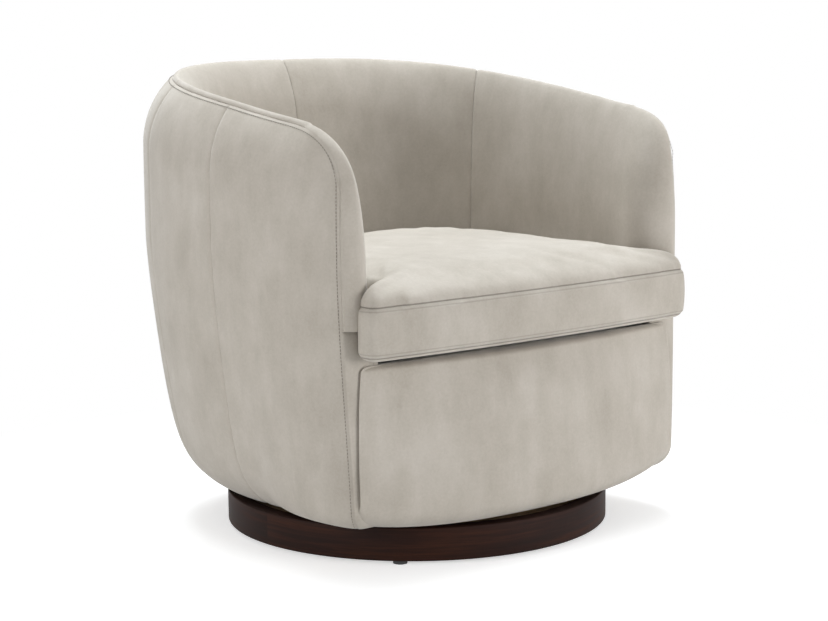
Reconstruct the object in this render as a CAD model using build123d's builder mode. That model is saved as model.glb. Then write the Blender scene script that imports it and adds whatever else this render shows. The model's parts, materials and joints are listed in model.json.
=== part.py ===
from build123d import *
import os
from math import asin, cos, pi, radians, sin, sqrt

# Swivel barrel accent chair, millimetres. The origin is on the floor on the swivel axis,
# +Z is up and the seat faces -Y. Each wall section is drawn in a plane that stands on the
# shell centre, with the distance from that centre across and the height up.

# Plinth
PLINTH_R = 310.0
PLINTH_H = 52.0
PLINTH_WALL = 24.0
PLINTH_EDGE = 1.5
PLINTH_BOARD_T = 18.0
PLINTH_RECESS = 9.0
BLOCK_L = 70.0
BLOCK_W = 26.0
GLIDE_H = 5.0
GLIDE_R = 11.0
GLIDE_SCREW_R = 2.0
GLIDE_SCREW_L = 18.0
GLIDE_HEAD_R = 4.2
GLIDE_COUNT = 4

# Swivel bearing
PLATE_SIDE = 190.0
PLATE_T = 3.0
PLATE_CORNER = 14.0
BALL_R = 5.7
BALL_COUNT = 18
BALL_PITCH_R = 66.0
BEARING_H = 16.0
CAGE_T = 2.0
CAGE_W = 20.0
PIN_R = 8.0
PIN_FLANGE_R = 14.0
PIN_FLANGE_T = 2.0
PIN_WELL_R = 19.0
SCREW_R = 2.4
SCREW_HEAD_R = 4.6
SCREW_HEAD_H = 2.6
SCREW_L = 14.0
BOLT_R = 3.0
BOLT_HEAD_R = 5.4
BOLT_HEAD_H = 2.8
BOLT_L = 15.0
LOWER_HOLE_AT = 80.0
UPPER_HOLE_AT = 82.0

# Clearances
RUN_GAP = 0.3
FIT_GAP = 0.2
SEAM_GAP = 0.8
SOFT_GAP = 0.6
RIB_GAP = 3.0
BOARD_GAP = 2.4
DECK_SIDE_GAP = 2.6

# Shell outline seen from above: a superellipse, deeper to the front than to the back
SHELL_HALF_W = 388.0
SHELL_BACK = 406.0
SHELL_FRONT = 450.0
SHELL_Y = 16.0
SHELL_POWER = 2.6

# Shell side profile
SHELL_DROP = 1.0
BELLY_Z = 470.0
TUCK_BACK = 0.25
TUCK_FRONT = 0.09
RIM_BACK_Z = 735.0
RIM_SLOPE = 0.145
RIM_TOP_RISE = 10.0
ROLL_BACK = 62.0
ROLL_ARM = 40.0
ROLL_NOSE = 6.0
ROLL_H = 118.0
ROLL_FADE = 15.0
ARM_END = 127.0
ARM_NOSE_R = 85.0

# Upholstery
COVER_T = 14.0
WALL_ARM = 84.0
WALL_BACK_RIM = 100.0
WALL_BACK_SEAT = 168.0
PAD_ARM = 30.0
PAD_BACK = 40.0
PAD_ROLL = 24.0
NOSE_R = 30.0
NOSE_SLANT = 1.5
SEAM_BACK = 60.0
SEAM_SIDE = 90.0
FACING_T = 22.0
FACING_W = 60.0
FACING_TOP = 335.0

# Frame
BOARD_T = 18.0
DUST_T = 1.0
DUST_CUT = 6.0
RIB_T = 18.0
RIB_BACK = 24.0
RIB_SIDE = 62.0
RIB_ARM_SET = 22.0
RIB_FRONT_SET = 15.0
RIB_FOOT = 40.0
RIB_TOP_GAP = 2.2
RIB_SHOULDER = 8.0
RAIL_H = 45.0
RAIL_DROP = 62.0
RAIL_T = 24.0
SEAT_RAIL_H = 60.0
SEAT_RAIL_INSET = 30.0
SEAT_RAIL_Z = 300.0
REAR_RAIL_INSET = 4.0
FRONT_INSET = 29.0
FRONT_T = 22.0
CORNER_LEG = 60.0
CORNER_T = 22.0
WIRE = 4.0
SPRING_COUNT = 5
SPRING_SIDE = 82.0
SPRING_SWING = 26.0
SPRING_STEPS = 14
CLIP_L = 20.0
CLIP_W = 16.0
CLIP_H = 6.0
DECK_T = 16.0
DECK_GAP = 0.3
PAD_LIFT = 2.0

# Front apron, listed by level: height over the shell's bottom edge, inset of its ends from the
# arm's edge, lead of its ends ahead of the arm's front, bow
APRON_LEVELS = (
    (0.0, 17.0, 38.0, 37.0),
    (12.0, 11.0, 44.0, 38.0),
    (47.0, 8.5, 51.0, 28.0),
    (137.0, 8.4, 44.0, 23.0),
    (217.0, 11.0, 39.0, 17.5),
    (255.0, 18.0, 31.5, 13.0),
)
APRON_CORNER = 20.0

# Seat cushion
CUSHION_EDGE = 11.4
CUSHION_BOXING = 73.0
CUSHION_CROWN = 43.0
CUSHION_LEAD = 63.0
CUSHION_BOW = 14.0
CUSHION_EAR_INSET = 20.0
CUSHION_EAR_R = 12.0
CUSHION_GAP = 4.0
COVER_FABRIC = 5.0

# Levels and places that follow from the sizes above
plinth_top = GLIDE_H + PLINTH_H
board_low = plinth_top - PLINTH_RECESS - PLINTH_BOARD_T
lower_plate_z = plinth_top - PLINTH_RECESS
upper_plate_z = lower_plate_z + BEARING_H - PLATE_T
ball_z = lower_plate_z + BEARING_H / 2
seat_board_z = lower_plate_z + BEARING_H
seat_board_top = seat_board_z + BOARD_T
shell_z = seat_board_z - SHELL_DROP
seat_rail_x = SHELL_HALF_W - WALL_ARM - SEAT_RAIL_INSET
rear_rail_y = SHELL_Y + SHELL_BACK - WALL_BACK_SEAT - REAR_RAIL_INSET
spring_pitch = 2 * (seat_rail_x - RAIL_T - SPRING_SIDE) / (SPRING_COUNT - 1)
deck_z = SEAT_RAIL_Z + CLIP_H + DECK_GAP
pad_z = SEAT_RAIL_Z + PAD_LIFT
deck_top = deck_z + DECK_T
cushion_z = deck_top + DECK_GAP
cushion_seam_low = cushion_z + CUSHION_EDGE
cushion_seam_top = cushion_seam_low + CUSHION_BOXING
cushion_top = cushion_seam_top + CUSHION_CROWN
glide_ring_r = PLINTH_R - PLINTH_WALL / 2


def smooth(value, low, high):
    """Ease from 0 at low to 1 at high."""
    t = min(1.0, max(0.0, (value - low) / (high - low)))
    return t * t * (3 - 2 * t)


def shell_radius(angle):
    """Distance from the shell centre to the outer shell, angle in degrees from the back."""
    side = abs(sin(radians(angle))) / SHELL_HALF_W
    along = cos(radians(angle))
    depth = abs(along) / (SHELL_BACK if along > 0 else SHELL_FRONT)
    return (side**SHELL_POWER + depth**SHELL_POWER) ** (-1 / SHELL_POWER)


def half_width(y):
    """Half width of the shell at its belly, at a place y."""
    depth = SHELL_BACK if y > SHELL_Y else SHELL_FRONT
    return SHELL_HALF_W * (1 - (abs(y - SHELL_Y) / depth) ** SHELL_POWER) ** (1 / SHELL_POWER)


def tuck(angle, z):
    """Share of the belly radius that is left at height z, as the shell draws in to the plinth."""
    share = min(1.0, max(0.0, (BELLY_Z - z) / (BELLY_Z - shell_z)))
    deep = TUCK_BACK + (TUCK_FRONT - TUCK_BACK) * smooth(abs(angle), SEAM_SIDE, ARM_END)
    return 1 - deep * (0.5 * share**1.4 + 0.5 * share**12)


nose_y = SHELL_Y + shell_radius(ARM_END) * cos(radians(ARM_END))
nose_start = nose_y + ARM_NOSE_R
rib_arm_y = SHELL_Y - RIB_ARM_SET
rib_front_y = nose_start + RIB_FRONT_SET
cushion_front = CUSHION_LEAD - nose_y
ear_x = shell_radius(ARM_END) * sin(radians(ARM_END)) - CUSHION_EAR_INSET


def rim_height(y):
    """Height of the rim seam at a place y, with the round corner at the front of the arm."""
    line = RIM_BACK_Z - RIM_SLOPE * (SHELL_Y + SHELL_BACK - ROLL_BACK - y)
    past = min(ARM_NOSE_R * 0.985, max(0.0, nose_start - y))
    return line - ARM_NOSE_R + sqrt(ARM_NOSE_R**2 - past**2)


def roll(angle):
    """How far the shell rolls in at the rim, less and less towards the arm's nose."""
    to_arm = ROLL_BACK + (ROLL_ARM - ROLL_BACK) * smooth(abs(angle), 0, SEAM_SIDE)
    return to_arm + (ROLL_NOSE - to_arm) * smooth(abs(angle), ARM_END - ROLL_FADE, ARM_END)


def inner_share(angle):
    """1 at the back, where the inner face leans, and 0 along the arms."""
    return (1 + cos(pi * min(abs(angle), 85.0) / 85.0)) / 2


def radial_plane(angle):
    a = radians(angle)
    return Plane(origin=(0, SHELL_Y, 0), x_dir=(sin(a), cos(a), 0), z_dir=(cos(a), -sin(a), 0))


def cross_plane(y):
    return Plane(origin=(0, y, 0), x_dir=(1, 0, 0), z_dir=(0, -1, 0))


def rim_at(angle):
    """Height of the rim seam in a radial plane."""
    y = SHELL_Y + (shell_radius(angle) - roll(angle)) * cos(radians(angle))
    if abs(angle) > SEAM_SIDE:
        y = SHELL_Y + shell_radius(angle) * cos(radians(angle))
    return rim_height(y)


def roll_arc(roll_in):
    """Radius and turn in radians of the arc that leaves the wall upright and rolls in by roll_in."""
    radius = (roll_in**2 + ROLL_H**2) / (2 * roll_in)
    return radius, asin(ROLL_H / radius)


def rim_inset(reach, rim, roll_in, inset):
    """Point that lies inset under the rim seam, square to the rolled cover."""
    turn = roll_arc(roll_in)[1]
    return reach - roll_in - inset * cos(turn), rim - inset * sin(turn)


def shell_curve(reach, rim, roll_in, draw, inset, angle):
    """Nine points up the shell from the bottom edge to the rim seam, set in by inset."""
    start = rim - ROLL_H
    levels = [shell_z, shell_z + 14, shell_z + 45, shell_z + 130, shell_z + 230]
    points = [(reach * draw(angle, z) - inset, z) for z in levels]
    points.append((reach * draw(angle, (levels[-1] + start) / 2) - inset, (levels[-1] + start) / 2))
    points.append((reach * draw(angle, start) - inset, start))
    radius, turn = roll_arc(roll_in)
    half = turn / 2
    points.append((reach - radius + (radius - inset) * cos(half), start + (radius - inset) * sin(half)))
    points.append(rim_inset(reach, rim, roll_in, inset))
    return points


def cover_section(angle):
    """Section of the outer cover in a radial plane."""
    reach = shell_radius(angle)
    outer = shell_curve(reach, rim_at(angle) - SEAM_GAP, roll(angle), tuck, 0, angle)
    inner = shell_curve(reach, rim_at(angle) - SEAM_GAP, roll(angle), tuck, COVER_T, angle)
    with BuildSketch(radial_plane(angle)) as section:
        with BuildLine():
            ThreePointArc(outer[0], outer[1], outer[2])
            ThreePointArc(outer[2], outer[3], outer[4])
            ThreePointArc(outer[4], outer[5], outer[6])
            ThreePointArc(outer[6], outer[7], outer[8])
            Line(outer[8], inner[8])
            ThreePointArc(inner[8], inner[7], inner[6])
            ThreePointArc(inner[6], inner[5], inner[4])
            ThreePointArc(inner[4], inner[3], inner[2])
            ThreePointArc(inner[2], inner[1], inner[0])
            Line(inner[0], outer[0])
        make_face()
    return section.sketch


def pad_section(plane, reach, rim, roll_in, wall_rim, wall_seat, pad, low, nose=0.0, slant=1.0):
    """Section of an inner pad, from the rim seam over the rim and down the inner face."""
    seam = (reach - roll_in, rim)
    top = (reach - roll_in - 0.5 * (wall_rim - roll_in) + nose * 0.3, rim + RIM_TOP_RISE)
    inner = (reach - wall_rim + nose, rim - PAD_ROLL)
    foot = (reach - wall_seat + nose, low)
    back = (reach - wall_seat + pad, low)
    head = rim_inset(reach - SEAM_GAP, rim, roll_in, slant * COVER_T)
    with BuildSketch(plane) as section:
        with BuildLine():
            ThreePointArc(seam, top, inner)
            Line(inner, foot)
            Line(foot, back)
            Line(back, head)
            Line(head, seam)
        make_face()
    return section.sketch


def radial_pad(angle):
    share = inner_share(angle)
    wall_rim = WALL_ARM + (WALL_BACK_RIM - WALL_ARM) * share
    wall_seat = WALL_ARM + (WALL_BACK_SEAT - WALL_ARM) * share
    pad = PAD_ARM + (PAD_BACK - PAD_ARM) * share
    reach = shell_radius(angle)
    return pad_section(
        radial_plane(angle), reach, rim_at(angle), roll(angle), wall_rim, wall_seat, pad, pad_z
    )


def arm_angle(y):
    """Angle from the back of the belly outline at a place y in front of the shell centre."""
    low, high = SEAM_SIDE, 180.0
    for _ in range(40):
        mid = (low + high) / 2
        if SHELL_Y + shell_radius(mid) * cos(radians(mid)) > y:
            low = mid
        else:
            high = mid
    return low


def arm_pad(y, fill):
    """Section of the inner arm across the chair; fill 0 is a pad, 1 closes the whole arm."""
    reach = half_width(y)
    near_end = max(0.0, NOSE_R - (y - nose_y))
    nose = NOSE_R - sqrt(max(0.0, NOSE_R**2 - min(near_end, NOSE_R * 0.97) ** 2))
    pad = PAD_ARM + (WALL_ARM - NOSE_SLANT * COVER_T - SOFT_GAP - PAD_ARM) * fill
    low = pad_z + (FACING_TOP + SEAM_GAP - pad_z) * fill
    angle = arm_angle(y)
    return pad_section(
        cross_plane(y),
        reach,
        rim_height(y),
        roll(angle),
        WALL_ARM,
        WALL_ARM,
        pad,
        low,
        nose,
        1 + (NOSE_SLANT - 1) * smooth(angle, SEAM_SIDE, ARM_END) * 2,
    )


def inner_outline(inset):
    """Arc points of the inner walls at seat level, right half, from the arm front to the back."""
    points = []
    for y in (nose_y + NOSE_R, (nose_y + NOSE_R + SHELL_Y) / 2, SHELL_Y):
        points.append((half_width(y) - WALL_ARM - inset, y))
    for angle in (76.0, 62.0, 49.0, 36.0, 0.0):
        share = inner_share(angle)
        r = shell_radius(angle) - WALL_ARM - (WALL_BACK_SEAT - WALL_ARM) * share - inset
        points.append((r * sin(radians(angle)), SHELL_Y + r * cos(radians(angle))))
    return points


def rib_section(plane, reach, rim, roll_in, angle, wall_seat, pad, foot, draw):
    """Plywood rib: its outer edge follows the cover, its inner edge the pad and the seat rail."""
    outer = shell_curve(reach, rim, roll_in, draw, COVER_T + RIB_GAP, angle)
    top_z = rim - RAIL_DROP - RAIL_H - RIB_TOP_GAP
    low_z = seat_board_top
    head = rim_inset(reach, rim, roll_in, COVER_T)
    back = (reach - wall_seat + pad, pad_z)
    slope = (head[0] - back[0]) / (head[1] - back[1])
    inner_top = back[0] + slope * (top_z - pad_z) + RIB_GAP
    out_low = reach * draw(angle, low_z) - COVER_T - RIB_GAP
    out_top = min(outer[6][0], outer[7][0] + RIB_SHOULDER)
    foot_low = min(foot, out_low - RIB_FOOT)
    rail_low = SEAT_RAIL_Z - SEAT_RAIL_H - SOFT_GAP
    with BuildSketch(plane) as section:
        with BuildLine():
            Polyline(
                (foot_low, low_z),
                (out_low, low_z),
                (outer[2][0] - SOFT_GAP, outer[2][1]),
                (outer[3][0] - SOFT_GAP, outer[3][1]),
                (outer[4][0] - SOFT_GAP, outer[4][1]),
                (out_top - SOFT_GAP, top_z),
                (inner_top, top_z),
                (back[0] + RIB_GAP, pad_z - SOFT_GAP),
                (foot, pad_z - SOFT_GAP),
                (foot, rail_low),
                close=True,
            )
        make_face()
    return section.sketch


def rail_section(plane, reach, rim, roll_in, wall_seat, pad):
    """Bent top rail between the outer cover and the inner pad, under the rim."""
    head = rim_inset(reach, rim, roll_in, COVER_T)
    back = (reach - wall_seat + pad, pad_z)
    slope = (head[0] - back[0]) / (head[1] - back[1])
    top = rim - RAIL_DROP
    low = top - RAIL_H
    inner_low = back[0] + slope * (low - pad_z) + RIB_GAP
    inner_top = back[0] + slope * (top - pad_z) + RIB_GAP
    outer_low = min(inner_low + RAIL_T, reach - 0.08 * roll_in - COVER_T - RIB_GAP)
    outer_top = min(inner_top + RAIL_T, reach - 0.26 * roll_in - COVER_T - RIB_GAP)
    with BuildSketch(plane) as section:
        with BuildLine():
            Polyline(
                (inner_low, low), (outer_low, low), (outer_top, top), (inner_top, top), close=True
            )
        make_face()
    return section.sketch


def radial_rail(angle):
    share = inner_share(angle)
    wall_seat = WALL_ARM + (WALL_BACK_SEAT - WALL_ARM) * share
    pad = PAD_ARM + (PAD_BACK - PAD_ARM) * share
    return rail_section(
        radial_plane(angle), shell_radius(angle), rim_at(angle), roll(angle), wall_seat, pad
    )


def arm_rail(y):
    return rail_section(
        cross_plane(y), half_width(y), rim_height(y), roll(arm_angle(y)), WALL_ARM, PAD_ARM
    )


def radial_rib(angle, foot):
    share = inner_share(angle)
    wall_seat = WALL_ARM + (WALL_BACK_SEAT - WALL_ARM) * share
    pad = PAD_ARM + (PAD_BACK - PAD_ARM) * share
    reach = shell_radius(angle)
    plane = radial_plane(angle).offset(-RIB_T / 2)
    return rib_section(
        plane, reach, rim_at(angle), roll(angle), angle, wall_seat, pad, foot, tuck
    )


def cross_tuck(y):
    """Draw-in of the shell across the chair at a place y, where the shell also closes in depth."""

    def draw(angle, z):
        share = tuck(angle, z)
        depth = (abs(y - SHELL_Y) / (share * SHELL_FRONT)) ** SHELL_POWER
        wide = share * SHELL_HALF_W * (1 - depth) ** (1 / SHELL_POWER)
        return wide / half_width(y)

    return draw


def cross_rib(y):
    angle = arm_angle(y)
    return rib_section(
        cross_plane(y).offset(-RIB_T / 2),
        half_width(y),
        rim_height(y),
        roll(angle),
        angle,
        WALL_ARM,
        PAD_ARM,
        seat_rail_x + RUN_GAP,
        cross_tuck(y),
    )


def facing_edge(z):
    """Outer front edge of the arm at height z."""
    r = shell_radius(ARM_END) * tuck(ARM_END, z)
    return r * sin(radians(ARM_END)), SHELL_Y + r * cos(radians(ARM_END))


def facing_section(z):
    x, y = facing_edge(z)
    with BuildSketch(Plane.XY.offset(z)) as section:
        with BuildLine():
            Polyline(
                (x - SEAM_GAP, y),
                (x - SEAM_GAP - COVER_T * sin(radians(ARM_END)), y - COVER_T * cos(radians(ARM_END))),
                (x - NOSE_SLANT * COVER_T, y + FACING_T),
                (x - FACING_W, y + FACING_T),
                (x - FACING_W, y),
                close=True,
            )
        make_face()
    return section.sketch


def apron_section(height, inset, lead, bow):
    """Apron seen from above at a level: bowed front, round ends and a straight back."""
    z = shell_z + height
    edge, face = facing_edge(z)
    half = edge - inset
    back = face - SOFT_GAP
    end = face - lead
    front = bow - end
    side = min(back - 2, end + APRON_CORNER)
    with BuildSketch(Plane.XY.offset(z)) as section:
        with BuildLine():
            ThreePointArc((-half + APRON_CORNER, end), (0, -front), (half - APRON_CORNER, end))
            ThreePointArc(
                (half - APRON_CORNER, end),
                (half - 0.29 * APRON_CORNER, end + 0.29 * (side - end)),
                (half, side),
            )
            Polyline((half, side), (half, back), (-half, back), (-half, side))
            ThreePointArc(
                (-half, side),
                (-half + 0.29 * APRON_CORNER, end + 0.29 * (side - end)),
                (-half + APRON_CORNER, end),
            )
        make_face()
    return section.sketch


def cushion_section(z, share, inset):
    """Cushion outline between the arms at height z, drawn in by share and set in by inset."""
    walls = [
        (x * share, SHELL_Y + (y - SHELL_Y) * share) for x, y in inner_outline(CUSHION_GAP + inset)
    ]
    side = [(-x, y) for x, y in walls]
    tip = SHELL_Y + (CUSHION_BOW + inset - cushion_front - SHELL_Y) * share
    lead = SHELL_Y + (inset - cushion_front - SHELL_Y) * share
    with BuildSketch(Plane.XY.offset(z)) as section:
        with BuildLine():
            ThreePointArc((side[0][0], tip), (0, lead), (walls[0][0], tip))
            Line((walls[0][0], tip), walls[0])
            ThreePointArc(walls[0], walls[1], walls[2])
            ThreePointArc(walls[2], walls[3], walls[4])
            ThreePointArc(walls[4], walls[5], walls[6])
            ThreePointArc(walls[6], walls[7], side[6])
            ThreePointArc(side[6], side[5], side[4])
            ThreePointArc(side[4], side[3], side[2])
            ThreePointArc(side[2], side[1], side[0])
            Line(side[0], (side[0][0], tip))
        make_face()
    return section.sketch


def ear_section(z, inset):
    """Round-cornered cushion ear in front of the right arm at height z, set in by inset."""
    inner = inner_outline(CUSHION_GAP)[0][0] - CUSHION_EAR_R
    back = nose_y - CUSHION_GAP
    front = CUSHION_BOW - cushion_front
    with BuildSketch(Plane.XY.offset(z)) as section:
        with Locations(((inner + ear_x - inset) / 2, (back + front) / 2)):
            RectangleRounded(
                ear_x - inner - inset,
                back - front - inset,
                min(CUSHION_EAR_R, 0.4 * (back - front - inset)),
            )
    return section.sketch


def cushion_levels(inset):
    """Height and draw-in of each cushion outline, from the underside over the seams to the crown."""
    crown = CUSHION_CROWN
    return (
        (cushion_z + inset, 0.955),
        (cushion_seam_low, 0.985),
        ((cushion_seam_low + cushion_seam_top) / 2, 0.99),
        (cushion_seam_top, 1.0),
        (cushion_seam_top + 0.36 * crown - inset / 4, 0.93),
        (cushion_seam_top + 0.68 * crown - inset / 2, 0.8),
        (cushion_seam_top + 0.9 * crown - inset, 0.6),
        (cushion_top - inset, 0.36),
    )


os.makedirs("parts", exist_ok=True)


def save(piece, name):
    """Label a finished piece and write it to its own file."""
    piece.part.label = name
    export_step(piece.part, f"parts/{name}.step")


# Plinth ring: the dark stained wooden hoop that stands on the floor
with BuildPart() as plinth_ring:
    with BuildSketch(Plane.XY.offset(GLIDE_H)):
        Circle(PLINTH_R)
        Circle(PLINTH_R - PLINTH_WALL, mode=Mode.SUBTRACT)
    extrude(amount=PLINTH_H)
    chamfer(plinth_ring.edges().filter_by(GeomType.CIRCLE).sort_by(SortBy.RADIUS)[-2:], PLINTH_EDGE)
    with BuildSketch(Plane.XY.offset(GLIDE_H)):
        with PolarLocations(glide_ring_r, GLIDE_COUNT, start_angle=45):
            Circle(GLIDE_SCREW_R + FIT_GAP)
    extrude(amount=GLIDE_SCREW_L, mode=Mode.SUBTRACT)
save(plinth_ring, "plinth_ring")

# Plinth board: let into the ring, it carries the swivel bearing
with BuildPart() as plinth_board:
    with BuildSketch(Plane.XY.offset(board_low)):
        Circle(PLINTH_R - PLINTH_WALL - FIT_GAP)
        Circle(PIN_WELL_R, mode=Mode.SUBTRACT)
        with GridLocations(2 * LOWER_HOLE_AT, 2 * LOWER_HOLE_AT, 2, 2):
            Circle(SCREW_R + FIT_GAP, mode=Mode.SUBTRACT)
    extrude(amount=PLINTH_BOARD_T)
save(plinth_board, "plinth_board")

# Glue blocks in the corner between the ring and the board
with BuildPart() as plinth_blocks:
    with BuildSketch(Plane.XY.offset(GLIDE_H + 2)):
        with PolarLocations(PLINTH_R - PLINTH_WALL - FIT_GAP - BLOCK_W / 2 - 3, GLIDE_COUNT):
            Rectangle(BLOCK_W, BLOCK_L)
    extrude(amount=board_low - GLIDE_H - 2)
save(plinth_blocks, "plinth_blocks")

# Floor glides with countersunk screws
with BuildPart() as floor_glides:
    with BuildSketch():
        with PolarLocations(glide_ring_r, GLIDE_COUNT, start_angle=45):
            Circle(GLIDE_R)
            Circle(GLIDE_SCREW_R + FIT_GAP, mode=Mode.SUBTRACT)
    extrude(amount=GLIDE_H)
    with BuildSketch():
        with PolarLocations(glide_ring_r, GLIDE_COUNT, start_angle=45):
            Circle(GLIDE_HEAD_R + FIT_GAP)
    extrude(amount=GLIDE_H / 2, mode=Mode.SUBTRACT)
save(floor_glides, "floor_glides")

with BuildPart() as glide_screws:
    with BuildSketch(Plane.XY.offset(GLIDE_H * 0.1)):
        with PolarLocations(glide_ring_r, GLIDE_COUNT, start_angle=45):
            Circle(GLIDE_HEAD_R)
    extrude(amount=GLIDE_H * 0.4)
    with BuildSketch(Plane.XY.offset(GLIDE_H * 0.5)):
        with PolarLocations(glide_ring_r, GLIDE_COUNT, start_angle=45):
            Circle(GLIDE_SCREW_R)
    extrude(amount=GLIDE_SCREW_L + GLIDE_H * 0.4)
save(glide_screws, "glide_screws")

# Swivel bearing: two steel plates with raceways, balls in a cage and a flanged pivot pin
with BuildPart() as swivel_lower_plate:
    with BuildSketch(Plane.XY.offset(lower_plate_z)):
        RectangleRounded(PLATE_SIDE, PLATE_SIDE, PLATE_CORNER)
        Circle(PIN_R + FIT_GAP, mode=Mode.SUBTRACT)
        with GridLocations(2 * LOWER_HOLE_AT, 2 * LOWER_HOLE_AT, 2, 2):
            Circle(SCREW_R + FIT_GAP, mode=Mode.SUBTRACT)
    extrude(amount=PLATE_T)
    with BuildSketch(Plane.XZ):
        with Locations((BALL_PITCH_R, ball_z)):
            Circle(BALL_R + RUN_GAP)
    revolve(axis=Axis.Z, mode=Mode.SUBTRACT)
save(swivel_lower_plate, "swivel_lower_plate")

with BuildPart() as swivel_upper_plate:
    with BuildSketch(Plane.XY.offset(upper_plate_z)):
        RectangleRounded(PLATE_SIDE, PLATE_SIDE, PLATE_CORNER)
        Circle(PIN_R + RUN_GAP, mode=Mode.SUBTRACT)
        with GridLocations(2 * UPPER_HOLE_AT, 2 * UPPER_HOLE_AT, 2, 2):
            Circle(BOLT_R + FIT_GAP, mode=Mode.SUBTRACT)
    extrude(amount=PLATE_T)
    with BuildSketch(Plane.XZ):
        with Locations((BALL_PITCH_R, ball_z)):
            Circle(BALL_R + RUN_GAP)
    revolve(axis=Axis.Z, mode=Mode.SUBTRACT)
save(swivel_upper_plate, "swivel_upper_plate")

with BuildPart() as bearing_balls:
    with Locations((0, 0, ball_z)):
        with PolarLocations(BALL_PITCH_R, BALL_COUNT):
            Sphere(BALL_R)
save(bearing_balls, "bearing_balls")

with BuildPart() as ball_cage:
    with BuildSketch(Plane.XY.offset(ball_z - CAGE_T / 2)):
        Circle(BALL_PITCH_R + CAGE_W / 2)
        Circle(BALL_PITCH_R - CAGE_W / 2, mode=Mode.SUBTRACT)
        with PolarLocations(BALL_PITCH_R, BALL_COUNT):
            Circle(BALL_R + RUN_GAP, mode=Mode.SUBTRACT)
    extrude(amount=CAGE_T)
save(ball_cage, "ball_cage")

with BuildPart() as pivot_pin:
    with BuildSketch(Plane.XY.offset(lower_plate_z - PIN_FLANGE_T)):
        Circle(PIN_FLANGE_R)
    extrude(amount=PIN_FLANGE_T)
    with BuildSketch(Plane.XY.offset(lower_plate_z)):
        Circle(PIN_R)
    extrude(amount=BEARING_H + RUN_GAP)
    with BuildSketch(Plane.XY.offset(seat_board_z + RUN_GAP)):
        Circle(PIN_FLANGE_R)
    extrude(amount=PIN_FLANGE_T)
save(pivot_pin, "pivot_pin")

with BuildPart() as lower_plate_screws:
    with BuildSketch(Plane.XY.offset(lower_plate_z + PLATE_T)):
        with GridLocations(2 * LOWER_HOLE_AT, 2 * LOWER_HOLE_AT, 2, 2):
            Circle(SCREW_HEAD_R)
    extrude(amount=SCREW_HEAD_H)
    with BuildSketch(Plane.XY.offset(lower_plate_z + PLATE_T)):
        with GridLocations(2 * LOWER_HOLE_AT, 2 * LOWER_HOLE_AT, 2, 2):
            Circle(SCREW_R)
    extrude(amount=-SCREW_L)
save(lower_plate_screws, "lower_plate_screws")

with BuildPart() as upper_plate_bolts:
    with BuildSketch(Plane.XY.offset(upper_plate_z)):
        with GridLocations(2 * UPPER_HOLE_AT, 2 * UPPER_HOLE_AT, 2, 2):
            Circle(BOLT_HEAD_R)
    extrude(amount=-BOLT_HEAD_H)
    with BuildSketch(Plane.XY.offset(upper_plate_z)):
        with GridLocations(2 * UPPER_HOLE_AT, 2 * UPPER_HOLE_AT, 2, 2):
            Circle(BOLT_R)
    extrude(amount=BOLT_L)
save(upper_plate_bolts, "upper_plate_bolts")


def board_points():
    """Outline of the seat board just inside the covers, right half from the front to the back."""
    edge_x, edge_y = facing_edge(shell_z)
    points = [(0, edge_y + FACING_T + SOFT_GAP), (edge_x - FACING_W, edge_y + FACING_T + SOFT_GAP)]
    for step in range(12):
        angle = ARM_END - 8 - step * (ARM_END - 8) / 11
        r = shell_radius(angle) * tuck(angle, shell_z) - COVER_T - BOARD_GAP
        points.append((r * sin(radians(angle)), SHELL_Y + r * cos(radians(angle))))
    return points


# Seat board: the plywood floor of the turning seat
with BuildPart() as seat_board:
    with BuildSketch(Plane.XY.offset(seat_board_z)):
        with BuildLine():
            right = board_points()
            Polyline(*right, *[(-x, y) for x, y in reversed(right[1:-1])], close=True)
        make_face()
        Circle(PIN_WELL_R, mode=Mode.SUBTRACT)
        with GridLocations(2 * UPPER_HOLE_AT, 2 * UPPER_HOLE_AT, 2, 2):
            Circle(BOLT_R + FIT_GAP, mode=Mode.SUBTRACT)
    extrude(amount=BOARD_T)
save(seat_board, "seat_board")

# Dust cover: black cloth under the seat board, cut out round the bearing
with BuildPart() as dust_cover:
    with BuildSketch(Plane.XY.offset(seat_board_z - DUST_T)):
        with BuildLine():
            right = board_points()
            Polyline(*right, *[(-x, y) for x, y in reversed(right[1:-1])], close=True)
        make_face()
        RectangleRounded(PLATE_SIDE + DUST_CUT, PLATE_SIDE + DUST_CUT, PLATE_CORNER, mode=Mode.SUBTRACT)
    extrude(amount=DUST_T)
save(dust_cover, "dust_cover")

# Plywood ribs that carry the walls
back_foot = (rear_rail_y + RUN_GAP - SHELL_Y + RIB_T / 2 * sin(radians(RIB_BACK))) / cos(radians(RIB_BACK))
side_foot = (seat_rail_x + RUN_GAP + RIB_T / 2 * cos(radians(RIB_SIDE))) / sin(radians(RIB_SIDE))
with BuildPart() as back_rib_right:
    extrude(radial_rib(RIB_BACK, back_foot), amount=RIB_T)
save(back_rib_right, "back_rib_right")
with BuildPart() as back_rib_left:
    mirror(back_rib_right.part, about=Plane.YZ)
save(back_rib_left, "back_rib_left")

with BuildPart() as side_rib_right:
    extrude(radial_rib(RIB_SIDE, side_foot), amount=RIB_T)
save(side_rib_right, "side_rib_right")
with BuildPart() as side_rib_left:
    mirror(side_rib_right.part, about=Plane.YZ)
save(side_rib_left, "side_rib_left")

with BuildPart() as arm_rib_right:
    extrude(cross_rib(rib_arm_y), amount=RIB_T)
save(arm_rib_right, "arm_rib_right")
with BuildPart() as arm_rib_left:
    mirror(arm_rib_right.part, about=Plane.YZ)
save(arm_rib_left, "arm_rib_left")

with BuildPart() as front_rib_right:
    extrude(cross_rib(rib_front_y), amount=RIB_T)
save(front_rib_right, "front_rib_right")
with BuildPart() as front_rib_left:
    mirror(front_rib_right.part, about=Plane.YZ)
save(front_rib_left, "front_rib_left")

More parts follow.
